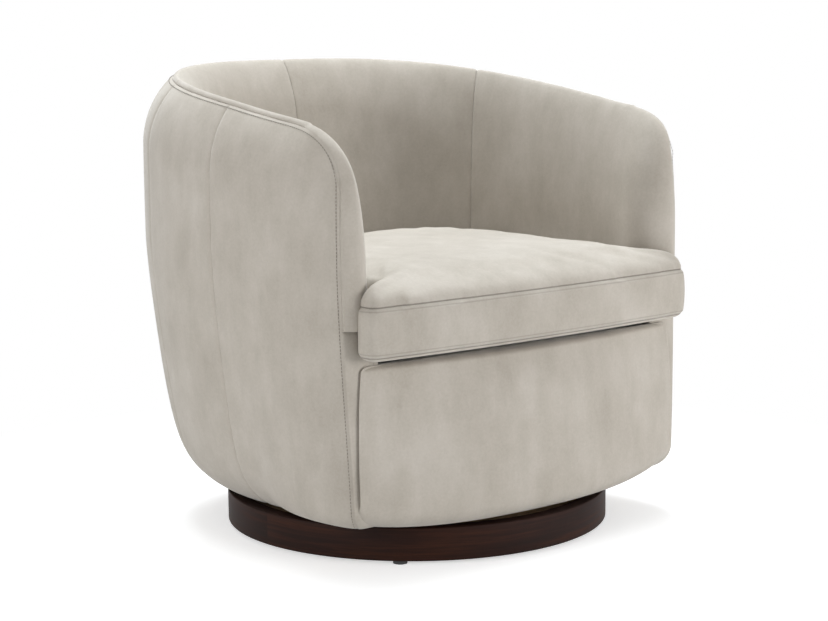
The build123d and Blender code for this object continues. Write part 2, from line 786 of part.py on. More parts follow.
# Bent top rails on the ribs
rail_split = RIB_SIDE
with BuildPart() as back_top_rail:
    loft([radial_rail(rail_split * step / 6) for step in range(-6, 7)], ruled=True)
save(back_top_rail, "back_top_rail")
with BuildPart() as arm_top_rail_right:
    loft(
        [
            radial_rail(rail_split + 0.1),
            radial_rail((rail_split + SEAM_SIDE) / 2),
            radial_rail(SEAM_SIDE),
            arm_rail((SHELL_Y + rib_front_y) / 2),
            arm_rail(rib_front_y - RIB_T / 2),
        ],
        ruled=True,
    )
save(arm_top_rail_right, "arm_top_rail_right")
with BuildPart() as arm_top_rail_left:
    mirror(arm_top_rail_right.part, about=Plane.YZ)
save(arm_top_rail_left, "arm_top_rail_left")

# Seat frame: leaning front board, side rails, rear rail and corner blocks
front_half = facing_edge(shell_z)[0] - FACING_W - FRONT_INSET
front_low = facing_edge(seat_board_top)[1] + SOFT_GAP
front_high = facing_edge(SEAT_RAIL_Z)[1] + SOFT_GAP
with BuildPart() as front_board:
    with BuildSketch(Plane.YZ):
        with BuildLine():
            Polyline(
                (front_low, seat_board_top),
                (front_high, SEAT_RAIL_Z),
                (front_high + FRONT_T, SEAT_RAIL_Z),
                (front_low + FRONT_T, seat_board_top),
                close=True,
            )
        make_face()
    extrude(amount=front_half, both=True)
save(front_board, "front_board")

rail_front = front_high + FRONT_T + SEAT_RAIL_H * (front_low - front_high) / (SEAT_RAIL_Z - seat_board_top)
rear_front = rear_rail_y - RAIL_T
with BuildPart() as side_rail_right:
    with BuildSketch(Plane.XY.offset(SEAT_RAIL_Z - SEAT_RAIL_H)):
        with Locations((seat_rail_x - RAIL_T, rail_front + RUN_GAP)):
            Rectangle(RAIL_T, rear_front - rail_front - 2 * RUN_GAP, align=(Align.MIN, Align.MIN))
    extrude(amount=SEAT_RAIL_H)
save(side_rail_right, "side_rail_right")
with BuildPart() as side_rail_left:
    mirror(side_rail_right.part, about=Plane.YZ)
save(side_rail_left, "side_rail_left")

with BuildPart() as rear_rail:
    with BuildSketch(Plane.XY.offset(SEAT_RAIL_Z - SEAT_RAIL_H)):
        with Locations((0, rear_front)):
            Rectangle(2 * seat_rail_x, RAIL_T, align=(Align.CENTER, Align.MIN))
    extrude(amount=SEAT_RAIL_H)
save(rear_rail, "rear_rail")

block_x = seat_rail_x - RAIL_T - FIT_GAP
block_z = SEAT_RAIL_Z - SEAT_RAIL_H
with BuildPart() as corner_blocks:
    with BuildSketch(Plane.XY.offset(block_z)):
        for side in (-1, 1):
            with BuildLine():
                Polyline(
                    (side * block_x, rear_front - FIT_GAP),
                    (side * (block_x - CORNER_LEG), rear_front - FIT_GAP),
                    (side * block_x, rear_front - FIT_GAP - CORNER_LEG),
                    close=True,
                )
            make_face()
    extrude(amount=CORNER_T)
save(corner_blocks, "corner_blocks")

# Sinuous springs on the front board and the rear rail, with their clips
spring_front = front_high + FRONT_T / 2
spring_rear = rear_front + RAIL_T / 2
spring_run = (spring_rear - spring_front) / SPRING_STEPS
with BuildPart() as seat_springs:
    for column in range(SPRING_COUNT):
        x = (column - (SPRING_COUNT - 1) / 2) * spring_pitch
        wave = [(x, spring_front)]
        for step in range(1, SPRING_STEPS):
            swing = SPRING_SWING / 2 if step % 2 else -SPRING_SWING / 2
            wave.append((x + swing, spring_front + step * spring_run))
        wave.append((x, spring_rear))
        with BuildSketch(Plane.XY.offset(SEAT_RAIL_Z)):
            with BuildLine():
                FilletPolyline(*wave, radius=spring_run * 0.3)
            trace(line_width=WIRE)
        extrude(amount=WIRE)
save(seat_springs, "seat_springs")

with BuildPart() as spring_clips:
    for y in (spring_front, spring_rear):
        with BuildSketch(Plane.XY.offset(SEAT_RAIL_Z + WIRE)):
            with Locations((0, y)):
                with GridLocations(spring_pitch, 0, SPRING_COUNT, 1):
                    Rectangle(CLIP_W, CLIP_L)
        extrude(amount=CLIP_H - WIRE)
save(spring_clips, "spring_clips")

# Deck: felt and cloth over the springs, out to the inner walls
with BuildPart() as deck_pad:
    with BuildSketch(Plane.XY.offset(deck_z)):
        with BuildLine():
            walls = inner_outline(DECK_SIDE_GAP)
            side = [(-x, y) for x, y in walls]
            deck_front = facing_edge(FACING_TOP)[1] + FACING_T + SOFT_GAP
            neck = half_width(deck_front) - WALL_ARM - DECK_SIDE_GAP
            Polyline((-neck, deck_front), (neck, deck_front), walls[0])
            ThreePointArc(walls[0], walls[1], walls[2])
            ThreePointArc(walls[2], walls[3], walls[4])
            ThreePointArc(walls[4], walls[5], walls[6])
            ThreePointArc(walls[6], walls[7], side[6])
            ThreePointArc(side[6], side[5], side[4])
            ThreePointArc(side[4], side[3], side[2])
            ThreePointArc(side[2], side[1], side[0])
            Line(side[0], (-neck, deck_front))
        make_face()
    extrude(amount=DECK_T)
save(deck_pad, "deck_pad")

# Outer covers, sewn together at upright seams
with BuildPart() as outer_back:
    loft([cover_section(SEAM_BACK * step / 6) for step in range(-6, 7)], ruled=True)
save(outer_back, "outer_back")
with BuildPart() as outer_side_right:
    loft([cover_section(SEAM_BACK + (SEAM_SIDE - SEAM_BACK) * step / 3) for step in range(4)], ruled=True)
save(outer_side_right, "outer_side_right")
with BuildPart() as outer_side_left:
    mirror(outer_side_right.part, about=Plane.YZ)
save(outer_side_left, "outer_side_left")
with BuildPart() as outer_arm_right:
    loft(
        [
            cover_section(SEAM_SIDE + (ARM_END - SEAM_SIDE) * share)
            for share in (0, 0.25, 0.5, 0.65, 0.76, 0.85, 0.92, 0.97, 1)
        ],
        ruled=True,
    )
save(outer_arm_right, "outer_arm_right")
with BuildPart() as outer_arm_left:
    mirror(outer_arm_right.part, about=Plane.YZ)
save(outer_arm_left, "outer_arm_left")

# Inner pads, which wrap over the rim to the rim seam
with BuildPart() as inner_back_right:
    loft([radial_pad(SEAM_BACK * step / 6) for step in range(7)], ruled=True)
save(inner_back_right, "inner_back_right")
with BuildPart() as inner_back_left:
    mirror(inner_back_right.part, about=Plane.YZ)
save(inner_back_left, "inner_back_left")
with BuildPart() as inner_arm_right:
    loft(
        [
            radial_pad(SEAM_BACK),
            radial_pad(SEAM_BACK + (SEAM_SIDE - SEAM_BACK) / 3),
            radial_pad(SEAM_BACK + (SEAM_SIDE - SEAM_BACK) * 2 / 3),
            radial_pad(SEAM_SIDE),
            arm_pad((SHELL_Y + nose_start) / 2, 0),
            arm_pad(nose_start, 0),
            arm_pad(nose_start - 0.34 * ARM_NOSE_R, 0.3),
            arm_pad(nose_start - 0.62 * ARM_NOSE_R, 1),
            arm_pad(nose_start - 0.8 * ARM_NOSE_R, 1),
            arm_pad(nose_start - 0.93 * ARM_NOSE_R, 1),
            arm_pad(nose_y + 0.5, 1),
        ],
        ruled=True,
    )
save(inner_arm_right, "inner_arm_right")
with BuildPart() as inner_arm_left:
    mirror(inner_arm_right.part, about=Plane.YZ)
save(inner_arm_left, "inner_arm_left")

# Facing of each arm below the seat, beside the apron
facing_levels = (shell_z, shell_z + 14, shell_z + 45, shell_z + 130, FACING_TOP)
with BuildPart() as arm_facing_right:
    loft([facing_section(z) for z in facing_levels], ruled=True)
save(arm_facing_right, "arm_facing_right")
with BuildPart() as arm_facing_left:
    mirror(arm_facing_right.part, about=Plane.YZ)
save(arm_facing_left, "arm_facing_left")

# Padded apron across the front
with BuildPart() as front_apron:
    loft([apron_section(*level) for level in APRON_LEVELS], ruled=True)
save(front_apron, "front_apron")

# Loose seat cushion: foam core in a sewn cover
with BuildPart() as cushion_core:
    loft(
        [cushion_section(z, share, COVER_FABRIC) for z, share in cushion_levels(COVER_FABRIC)],
        ruled=True,
    )
save(cushion_core, "cushion_core")
ear_levels = (
    (cushion_z + COVER_FABRIC, 8.0),
    (cushion_seam_low, 2.0),
    ((cushion_seam_low + cushion_seam_top) / 2, 0.0),
    (cushion_seam_top, 0.0),
    (cushion_seam_top + COVER_FABRIC, 8.0),
)
with BuildPart() as cushion_ear:
    loft([ear_section(z, inset) for z, inset in ear_levels], ruled=True)
with BuildPart() as cushion_cover:
    loft([cushion_section(z, share, 0) for z, share in cushion_levels(0)], ruled=True)
    add(cushion_ear.part)
    mirror(cushion_ear.part, about=Plane.YZ)
    add(cushion_core.part, mode=Mode.SUBTRACT)
save(cushion_cover, "cushion_cover")
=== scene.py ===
"""Swivel barrel accent chair: upholstery, cushion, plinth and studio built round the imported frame.

Sizes in the classes are millimetres, as in the frame's source; meshes are metres. The origin is
on the floor on the swivel axis, +Z is up and the seat faces -Y.
"""

import json
import logging
import math
from dataclasses import dataclass
from enum import Enum
from typing import Any, Sequence

import bmesh
import bpy
import numpy as np
from mathutils import Matrix, Vector


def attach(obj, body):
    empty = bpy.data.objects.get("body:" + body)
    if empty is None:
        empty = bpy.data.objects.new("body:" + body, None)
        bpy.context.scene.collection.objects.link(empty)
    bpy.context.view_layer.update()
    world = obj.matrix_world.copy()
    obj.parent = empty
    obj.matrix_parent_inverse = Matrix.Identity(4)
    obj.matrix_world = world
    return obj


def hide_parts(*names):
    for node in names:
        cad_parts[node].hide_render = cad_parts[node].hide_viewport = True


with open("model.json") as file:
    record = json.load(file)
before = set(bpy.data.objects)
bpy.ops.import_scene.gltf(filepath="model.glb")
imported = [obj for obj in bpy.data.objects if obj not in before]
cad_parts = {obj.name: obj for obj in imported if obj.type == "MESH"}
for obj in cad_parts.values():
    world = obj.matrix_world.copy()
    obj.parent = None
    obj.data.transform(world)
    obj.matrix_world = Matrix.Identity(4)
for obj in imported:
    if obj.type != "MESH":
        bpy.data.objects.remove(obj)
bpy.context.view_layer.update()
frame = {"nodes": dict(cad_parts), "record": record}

Array = np.ndarray
Colour = tuple[float, float, float]
MM = 0.001
LOG = logging.getLogger("chair")


class Side(Enum):
    """Which half of the chair a piece belongs to, as the sign of its x."""

    LEFT = -1
    RIGHT = 1

    @property
    def word(self) -> str:
        """Name used at the end of a piece's name."""
        return self.name.lower()


class Body(Enum):
    """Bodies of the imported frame."""

    BASE = "base"
    SEAT = "seat"
    CUSHION = "cushion"


# Shader expressions


def math_operator(operation: str, swapped: bool = False) -> Any:
    """Method for a Python operator.

    Args:
        operation: Blender's name of the Math node's operation.
        swapped: Whether the wrapped value is the second one.

    Returns:
        A method that adds the Math node.
    """

    def method(self: "Sock", other: Any) -> "Sock":
        """Result of the operation on this value and another."""
        pair = (other, self) if swapped else (self, other)
        return self.tree.node("ShaderNodeMath", {"operation": operation}, dict(enumerate(pair)))

    return method


class Sock:
    """A socket in a node tree that can be used in Python expressions."""

    __add__, __radd__ = math_operator("ADD"), math_operator("ADD", True)
    __sub__, __rsub__ = math_operator("SUBTRACT"), math_operator("SUBTRACT", True)
    __mul__, __rmul__ = math_operator("MULTIPLY"), math_operator("MULTIPLY", True)
    __truediv__ = math_operator("DIVIDE")

    def __init__(self, tree: "ShaderTree", socket: bpy.types.NodeSocket | None) -> None:
        """Wrap an output socket of a tree."""
        self.tree = tree
        self.socket = socket

    def size(self) -> "Sock":
        """The value without its sign."""
        return self.tree.node("ShaderNodeMath", {"operation": "ABSOLUTE"}, {0: self})

    def clamp(self) -> "Sock":
        """The value held between 0 and 1."""
        return self.tree.node("ShaderNodeClamp", {}, {"Value": self})


class ShaderTree:
    """The node tree of a new material or world and the means to fill it."""

    def __init__(self, name: str, kind: str = "materials") -> None:
        """Start an empty node material, or one of Blender's other kinds, under a name."""
        self.owner = getattr(bpy.data, kind).new(name)
        self.owner.use_nodes = True
        self.tree = self.owner.node_tree
        self.tree.nodes.clear()

    def node(self, kind: str, settings: dict[str, Any], inputs: dict[Any, Any], out: Any = 0) -> Sock:
        """Create any node.

        Args:
            kind: Blender's node type.
            settings: Properties of the node, set first; "stops" fills a colour ramp.
            inputs: Values or Socks by the input's name or number.
            out: Name or number of the output that is returned.

        Returns:
            The chosen output, or an empty Sock for a node without outputs.
        """
        made = self.tree.nodes.new(kind)
        for key, value in settings.items():
            if key == "stops":
                self._fill_ramp(made.color_ramp, value)
            else:
                setattr(made, key, value)
        for key, value in inputs.items():
            if isinstance(value, Sock):
                self.tree.links.new(value.socket, made.inputs[key])
            else:
                made.inputs[key].default_value = value
        return Sock(self, made.outputs[out] if made.outputs else None)

    @staticmethod
    def _fill_ramp(ramp: bpy.types.ColorRamp, stops: Sequence[tuple[float, Any]]) -> None:
        """Set a ramp's stops from (place, colour) pairs."""
        while len(ramp.elements) < len(stops):
            ramp.elements.new(0.5)
        for element, (place, colour) in zip(ramp.elements, stops):
            element.position = place
            element.color = (*colour, 1.0)

    def place(self, scale: Sequence[float] = (1.0, 1.0, 1.0), source: str = "Object") -> Sock:
        """Texture place on the piece.

        Args:
            scale: Stretch along each axis.
            source: "Object" for metres on the piece, "UV" for its own map.

        Returns:
            The scaled coordinates.
        """
        where = self.node("ShaderNodeTexCoord", {}, {}, source)
        return self.node("ShaderNodeMapping", {}, {"Vector": where, "Scale": tuple(scale)})

    def noise(self, place: Sock, scale: float, detail: float = 3.0, rough: float = 0.5) -> Sock:
        """Noise value at a place, about 0 to 1."""
        inputs = {"Vector": place, "Scale": scale, "Detail": detail, "Roughness": rough}
        return self.node("ShaderNodeTexNoise", {}, inputs, "Fac")

    def ramp(self, value: Sock, stops: Sequence[tuple[float, Any]]) -> Sock:
        """Colour for a value, from (place, colour) stops."""
        return self.node("ShaderNodeValToRGB", {"stops": stops}, {"Fac": value})

    def mix(self, factor: Any, first: Any, second: Any, blend: str = "MIX") -> Sock:
        """Mix of two colours by a factor."""
        first, second = (c if isinstance(c, Sock) else (*c, 1.0) for c in (first, second))
        settings = {"data_type": "RGBA", "blend_type": blend}
        return self.node("ShaderNodeMix", settings, {0: factor, 6: first, 7: second}, 2)

    def bump(self, height: Sock, strength: float, depth: float, under: Sock | None = None) -> Sock:
        """Normal from a height.

        Args:
            height: The height's value.
            strength: Share of the bump that shows.
            depth: Depth of a height of 1 in metres.
            under: Normal of a coarser bump below this one.

        Returns:
            The normal.
        """
        inputs: dict[str, Any] = {"Height": height, "Strength": strength, "Distance": depth}
        if under is not None:
            inputs["Normal"] = under
        return self.node("ShaderNodeBump", {}, inputs)

    def surface(self, inputs: dict[str, Any]) -> bpy.types.Material:
        """Close the tree with a Principled shader.

        Args:
            inputs: Values or Socks of the shader's inputs.

        Returns:
            The finished material.
        """
        return self.close(self.node("ShaderNodeBsdfPrincipled", {}, inputs))

    def close(self, shader: Sock, output: str = "ShaderNodeOutputMaterial") -> Any:
        """Link a shader to the tree's output and return the finished material or world."""
        self.node(output, {}, {"Surface": shader})
        return self.owner

    def seen(self) -> Sock:
        """1 for rays from the camera and for what a reflection or glass shows, else 0."""
        kinds = ("Is Camera Ray", "Is Glossy Ray", "Is Transmission Ray")
        camera, glossy, glass = (self.node("ShaderNodeLightPath", {}, {}, kind) for kind in kinds)
        return (camera + glossy + glass).clamp()


# Finishes


@dataclass(frozen=True)
class Velvet:
    """Greige suede-like velvet: a mottled nap, fine fibres and a pale sheen."""

    name: str = "greige_velvet"
    dark: Colour = (0.385, 0.345, 0.295)
    middle: Colour = (0.45, 0.408, 0.355)
    light: Colour = (0.515, 0.472, 0.42)
    patch_scale: float = 7.0
    fibre_scale: float = 1400.0
    sheen: float = 0.3
    seams: tuple[tuple[float, float], ...] = ()
    seam_half: float = 0.0017
    seam_shade: Colour = (0.13, 0.112, 0.092)

    def sewn(self, tree: ShaderTree) -> Sock:
        """Lines of painted seam shade, also used as the seams' dent in the bump, at level heights: each
        (height, strength) gives strength * (1 - distance / half).
        """
        where = tree.node("ShaderNodeTexCoord", {}, {}, "Object")
        height = tree.node("ShaderNodeSeparateXYZ", {}, {0: where}, "Z")
        away = [(((height - at) / self.seam_half).size(), strength) for at, strength in self.seams]
        lines = [(1 - distance).clamp() * strength for distance, strength in away]
        return sum(lines[1:], lines[0])

    def material(self) -> bpy.types.Material:
        """Build the material."""
        tree = ShaderTree(self.name)
        plain = tree.place()
        brushed = tree.place((1.0, 1.0, 0.35))
        patches = tree.noise(plain, self.patch_scale, 5.0, 0.62)
        strokes = tree.noise(brushed, self.patch_scale * 4, 4.0, 0.6)
        grain = tree.noise(plain, self.fibre_scale * 0.18, 3.0, 0.7)
        nap = patches * 0.5 + strokes * 0.3 + grain * 0.2
        colour = tree.ramp(nap, ((0.36, self.dark), (0.5, self.middle), (0.64, self.light)))
        fibre = tree.noise(plain, self.fibre_scale, 2.0, 0.6)
        soft = tree.bump(strokes, 0.12, 0.0022)
        if self.seams:
            line = self.sewn(tree)
            # painted shade: the colour is darkened towards seam_shade along the cushion's seams and the
            # fainter lines beside them
            colour = tree.mix(line * 0.8, colour, self.seam_shade)
            soft = tree.bump(1 - line, 0.6, 0.0016, soft)
        normal = tree.bump(fibre * 0.7 + grain * 0.3, 0.22, 0.0006, soft)
        return tree.surface(
            {
                "Base Color": colour,
                "Roughness": 0.74 + 0.2 * patches,
                "Specular IOR Level": 0.18,
                "Sheen Weight": self.sheen,
                "Sheen Roughness": 0.42,
                "Sheen Tint": (1.0, 0.985, 0.955, 1.0),
                "Normal": normal,
            }
        )


@dataclass(frozen=True)
class Grained:
    """Finish whose colour and roughness follow one noise and whose bump follows another.

    A noise is given by its scale, detail and roughness, the bump by its strength and depth.
    """

    name: str
    dark: Colour
    light: Colour
    stops: tuple[float, float]
    tone: tuple[float, float, float]
    grain: tuple[float, float, float]
    bump: tuple[float, float]
    roughness: tuple[float, float]
    metallic: float = 0.0

    def material(self) -> bpy.types.Material:
        """Build the material; its roughness is the first of the pair plus the second times the tone."""
        tree = ShaderTree(self.name)
        tone = tree.noise(tree.place(), *self.tone)
        grain = tree.noise(tree.place(), *self.grain)
        least, spread = self.roughness
        return tree.surface(
            {
                "Base Color": tree.ramp(tone, tuple(zip(self.stops, (self.dark, self.light)))),
                "Metallic": self.metallic,
                "Roughness": least + spread * tone,
                "Normal": tree.bump(grain, *self.bump),
            }
        )


TAUPE_THREAD = Grained(
    "taupe_thread",
    dark=(0.17, 0.15, 0.125),
    light=(0.25, 0.225, 0.195),
    stops=(0.35, 0.65),
    tone=(2600.0, 2.0, 0.5),
    grain=(2600.0, 2.0, 0.5),
    bump=(0.4, 0.0004),
    roughness=(0.6, 0.2),
)
ZINC_STEEL = Grained(
    "zinc_steel",
    dark=(0.36, 0.37, 0.38),
    light=(0.58, 0.59, 0.60),
    stops=(0.3, 0.7),
    tone=(160.0, 4.0, 0.55),
    grain=(160.0, 4.0, 0.55),
    bump=(0.1, 0.0003),
    roughness=(0.26, 0.22),
    metallic=1.0,
)
BLACK_PLASTIC = Grained(
    "black_moulded_plastic",
    dark=(0.012, 0.012, 0.013),
    light=(0.035, 0.035, 0.036),
    stops=(0.4, 0.7),
    tone=(30.0, 3.0, 0.5),
    grain=(700.0, 3.0, 0.6),
    bump=(0.2, 0.0004),
    roughness=(0.5, 0.2),
)


@dataclass(frozen=True)
class StainedWood:
    """Dark walnut stain with a fine reddish grain along the ring and a satin lacquer."""

    name: str = "dark_walnut"
    dark: Colour = (0.0075, 0.003, 0.0021)
    middle: Colour = (0.017, 0.0062, 0.0042)
    light: Colour = (0.048, 0.0165, 0.0082)

    def material(self) -> bpy.types.Material:
        """Build the material on the ring's own map, metres along it and across it."""
        tree = ShaderTree(self.name)
        long_grain = tree.place((3.0, 90.0, 1.0), "UV")
        pores = tree.place((22.0, 900.0, 1.0), "UV")
        cloud = tree.place((4.0, 9.0, 1.0), "UV")
        grain = tree.noise(long_grain, 1.0, 6.0, 0.65)
        pore = tree.noise(pores, 1.0, 3.0, 0.6)
        stain = tree.noise(cloud, 1.0, 3.0, 0.5)
        tone = grain * 0.55 + pore * 0.15 + stain * 0.3
        colour = tree.ramp(tone, ((0.36, self.dark), (0.5, self.middle), (0.68, self.light)))
        normal = tree.bump(grain * 0.4 + pore * 0.6, 0.16, 0.0005)
        return tree.surface(
            {
                "Base Color": colour,
                "Roughness": 0.5 + 0.2 * grain,
                "Specular IOR Level": 0.1,
                "Coat Weight": 0.02,
                "Coat Roughness": 0.3,
                "Normal": normal,
            }
        )


@dataclass(frozen=True)
class Plywood:
    """Raw birch plywood with grain and thin dark glue lines between its plies."""

    name: str = "raw_plywood"
    dark: Colour = (0.36, 0.23, 0.12)
    light: Colour = (0.62, 0.46, 0.29)
    plies_per_metre: float = 640.0

    def material(self) -> bpy.types.Material:
        """Build the material."""
        tree = ShaderTree(self.name)
        grain = tree.noise(tree.place((6.0, 120.0, 120.0)), 1.0, 5.0, 0.6)
        wave = {"wave_type": "BANDS", "bands_direction": "Z"}
        inputs = {"Vector": tree.place(), "Scale": self.plies_per_metre / 20, "Distortion": 0.6}
        plies = tree.node("ShaderNodeTexWave", wave, inputs, "Fac")
        tone = grain * 0.8 + plies * 0.2
        colour = tree.ramp(tone, ((0.32, self.dark), (0.66, self.light)))
        normal = tree.bump(grain, 0.25, 0.0006)
        return tree.surface({"Base Color": colour, "Roughness": 0.62 + 0.2 * grain, "Normal": normal})


@dataclass(frozen=True)
class WovenCloth:
    """Plain woven cloth, used for the deck and for the black dust cover."""

    name: str
    dark: Colour
    light: Colour
    threads_per_metre: float = 900.0

    def material(self) -> bpy.types.Material:
        """Build the material from two crossed sets of threads."""
        tree = ShaderTree(self.name)
        where = tree.place()
        scale = self.threads_per_metre / 20
        threads = [
            tree.node(
                "ShaderNodeTexWave",
                {"wave_type": "BANDS", "bands_direction": way},
                {"Vector": where, "Scale": scale, "Distortion": 0.4, "Detail": 1.0},
                "Fac",
            )
            for way in ("X", "Y")
        ]
        weave = threads[0] * 0.5 + threads[1] * 0.5
        slub = tree.noise(where, 120.0, 3.0, 0.6)
        colour = tree.ramp(weave * 0.5 + slub * 0.5, ((0.25, self.dark), (0.75, self.light)))
        normal = tree.bump(weave, 0.5, 0.0005)
        return tree.surface(
            {
                "Base Color": colour,
                "Roughness": 0.82 + 0.12 * slub,
                "Specular IOR Level": 0.2,
                "Normal": normal,
            }
        )


# Meshes from arrays


def smooth(value: Array, low: float, high: float) -> Array:
    """Ease from 0 at low to 1 at high, with t*t*(3 - 2t)."""
    t = np.clip((np.asarray(value, float) - low) / (high - low), 0.0, 1.0)
    return t * t * (3 - 2 * t)


def spaced(length: float, step: float, fine_start: bool = True, fine_end: bool = True) -> Array:
    """Places along an edge, close together where a seam draws the cloth in.

    Args:
        length: Length of the edge in millimetres.
        step: Usual distance between places.
        fine_start: Whether the start is sewn.
        fine_end: Whether the end is sewn.

    Returns:
        Places in millimetres from 0 to length.
    """
    near = np.array([0.0, 0.9, 1.9, 3.1, 4.6, 6.5, 9.0, 12.5])
    first = near if fine_start else np.array([0.0])
    last = (length - near)[::-1] if fine_end else np.array([length])
    span = last[0] - first[-1]
    middle = np.linspace(first[-1], last[0], max(2, int(math.ceil(span / step)) + 1))[1:-1]
    return np.concatenate([first, middle, last])


def seam_dip(distance: Array, depth: float = 2.4, width: float = 3.2) -> Array:
    """How far cloth is drawn in at a distance from its seam: depth * exp(-distance / width)."""
    return depth * np.exp(-np.abs(distance) / width)


def lengths(points: Array) -> Array:
    """Length run at each point of a line, or down each column of a grid."""
    steps = np.linalg.norm(np.diff(points, axis=0), axis=-1)
    return np.concatenate([0 * steps[:1], np.cumsum(steps, axis=0)])


def resampled(line: Array, step: float) -> Array:
    """Points at even steps along a line of points."""
    run = lengths(line)
    at = np.linspace(0, run[-1], max(2, int(run[-1] / step)))
    return np.stack([np.interp(at, run, line[:, i]) for i in range(line.shape[1])], axis=-1)


def unit(vectors: Array) -> Array:
    """Vectors brought to length 1."""
    return vectors / np.maximum(np.linalg.norm(vectors, axis=-1, keepdims=True), 1e-9)


def arc(x: float, y: float, radius: float, start: float, count: int) -> Array:
    """Points of a quarter circle round (x, y) from a start angle."""
    turn = start + np.linspace(0, np.pi / 2, count)
    return np.stack([x + radius * np.cos(turn), y + radius * np.sin(turn)], axis=-1)


def at_heights(flat: Array, z: Array) -> Array:
    """Points from rows of level places and the height of each, or of each row."""
    return np.concatenate([flat, np.broadcast_to(z, flat.shape[:-1])[..., None]], axis=-1)


def seam_distance(points: Array, lines: Sequence[Array]) -> Array:
    """Distance in millimetres from each point of a grid to the nearest of some sewn lines."""
    marks = np.concatenate([resampled(line, 1.5) for line in lines])
    flat = points.reshape(-1, points.shape[-1])
    parts = np.array_split(flat, max(1, len(flat) // 300))
    near = [np.sqrt(((part[:, None] - marks[None]) ** 2).sum(-1).min(1)) for part in parts]
    return np.concatenate(near).reshape(points.shape[:-1])


def grid_normals(points: Array) -> Array:
    """Unit normals of a grid of points, from the cross product of its two directions."""
    return unit(np.cross(np.gradient(points, axis=1), np.gradient(points, axis=0)))


def ripple(points: Array, height: float = 0.5) -> Array:
    """Slow unevenness of stretched cloth in millimetres: a sum of three slanted sine waves."""
    x, y, z = np.moveaxis(points, -1, 0)
    first = np.sin(0.021 * x + 0.033 * y - 0.027 * z + 0.4)
    second = np.sin(-0.038 * x + 0.024 * y + 0.031 * z + 1.7)
    third = np.sin(0.047 * x - 0.052 * y + 0.019 * z + 2.9)
    return height * (first + 0.7 * second + 0.5 * third) / 2.2


def spline(levels: Array, values: Array, at: Array) -> Array:
    """Smooth curve through values: cubic Hermite pieces whose slopes are central differences."""
    slope = np.gradient(values, levels)
    i = np.clip(np.searchsorted(levels, at) - 1, 0, len(levels) - 2)
    step = levels[i + 1] - levels[i]
    t = (at - levels[i]) / step
    start = (1 + 2 * t) * (1 - t) ** 2 * values[i] + t * (1 - t) ** 2 * step * slope[i]
    return start + t * t * (3 - 2 * t) * values[i + 1] + t * t * (t - 1) * step * slope[i + 1]


def quarter_turn(radius: float, count: int) -> Array:
    """Heights at even steps of angle up a quarter circle from its flat end: r * (1 - cos)."""
    return radius * (1 - np.cos(np.linspace(0, np.pi / 2, count)))


class Patchwork:
    """Grids of points that are sewn into one mesh where their edges coincide."""

    def __init__(self) -> None:
        """Start with no grids."""
        self.points: list[Array] = []
        self.faces: list[tuple[int, ...]] = []
        self.count = 0

    def grid(self, points: Array, closed: bool = False, flip: bool = False) -> None:
        """Add the quads of a grid.

        Args:
            points: Rows by columns by 3, in millimetres.
            closed: Whether the last column joins the first.
            flip: Whether the faces turn the other way.
        """
        rows, columns = points.shape[:2]
        index = np.arange(rows * columns).reshape(rows, columns) + self.count
        if closed:
            index = np.concatenate([index, index[:, :1]], axis=1)
        quads = np.stack([index[:-1, :-1], index[1:, :-1], index[1:, 1:], index[:-1, 1:]], axis=-1)
        quads = quads.reshape(-1, 4)
        if flip:
            quads = quads[:, ::-1]
        self.faces.extend(map(tuple, quads.tolist()))
        self.points.append(points.reshape(-1, 3))
        self.count += rows * columns

    def wall(self, outer: Array, inner: Array, flip: bool = False) -> None:
        """Add a closed wall between two grids of the same size, with strips round their borders.

        Args:
            outer: Grid of the outer face.
            inner: Grid of the inner face.
            flip: Whether the faces turn the other way.
        """
        self.grid(outer, flip=flip)
        self.grid(inner, flip=not flip)
        for end in (0, -1):
            self.grid(np.stack([outer[end], inner[end]]))
            self.grid(np.stack([outer[:, end], inner[:, end]]))

    def cap(self, ring: Array, flip: bool = False) -> None:
        """Close a ring of points with one face."""
        index = np.arange(len(ring)) + self.count
        self.faces.append(tuple((index[::-1] if flip else index).tolist()))
        self.points.append(ring)
        self.count += len(ring)

    def stack(self, rings: Array) -> None:
        """Add a body of rings, one over the other, closed at both ends."""
        self.grid(rings, closed=True)
        self.cap(rings[0])
        self.cap(rings[-1], flip=True)

    def object(self, name: str, finish: bpy.types.Material, solid: bool = False) -> bpy.types.Object:
        """Make the object.

        Args:
            name: Name of the piece.
            finish: Its material.
            solid: Whether the mesh is closed, so that its normals can be turned outwards.

        Returns:
            The new object, smooth shaded and at the origin.
        """
        mesh = bpy.data.meshes.new(name)
        mesh.from_pydata((np.concatenate(self.points) * MM).tolist(), [], self.faces)
        work = bmesh.new()
        work.from_mesh(mesh)
        bmesh.ops.remove_doubles(work, verts=work.verts, dist=0.00004)
        bmesh.ops.dissolve_degenerate(work, edges=work.edges, dist=0.00001)
        if solid:
            bmesh.ops.recalc_face_normals(work, faces=work.faces)
        work.to_mesh(mesh)
        work.free()
        mesh.polygons.foreach_set("use_smooth", np.ones(len(mesh.polygons), bool))
        mesh.materials.append(finish)
        made = bpy.data.objects.new(name, mesh)
        bpy.context.scene.collection.objects.link(made)
        return made


def thicken(piece: bpy.types.Object, thickness: float) -> None:
    """Give a sheet its thickness in millimetres, away from its outer face."""
    wall = piece.modifiers.new("padding", "SOLIDIFY")
    wall.thickness = thickness * MM
    wall.offset = -1.0
    wall.use_even_offset = False


def settle(
    piece: bpy.types.Object, body: Body, nodes: Sequence[str]
) -> None:
    """Tie a piece to the frame.

    Args:
        piece: The new piece.
        body: Body that it moves with.
        nodes: Frame nodes that it stands for.
    """
    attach(piece, body.value)
    if nodes:
        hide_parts(*nodes)
    LOG.info("%s rides on %s", piece.name, body.value)


# Shape of the upholstered shell


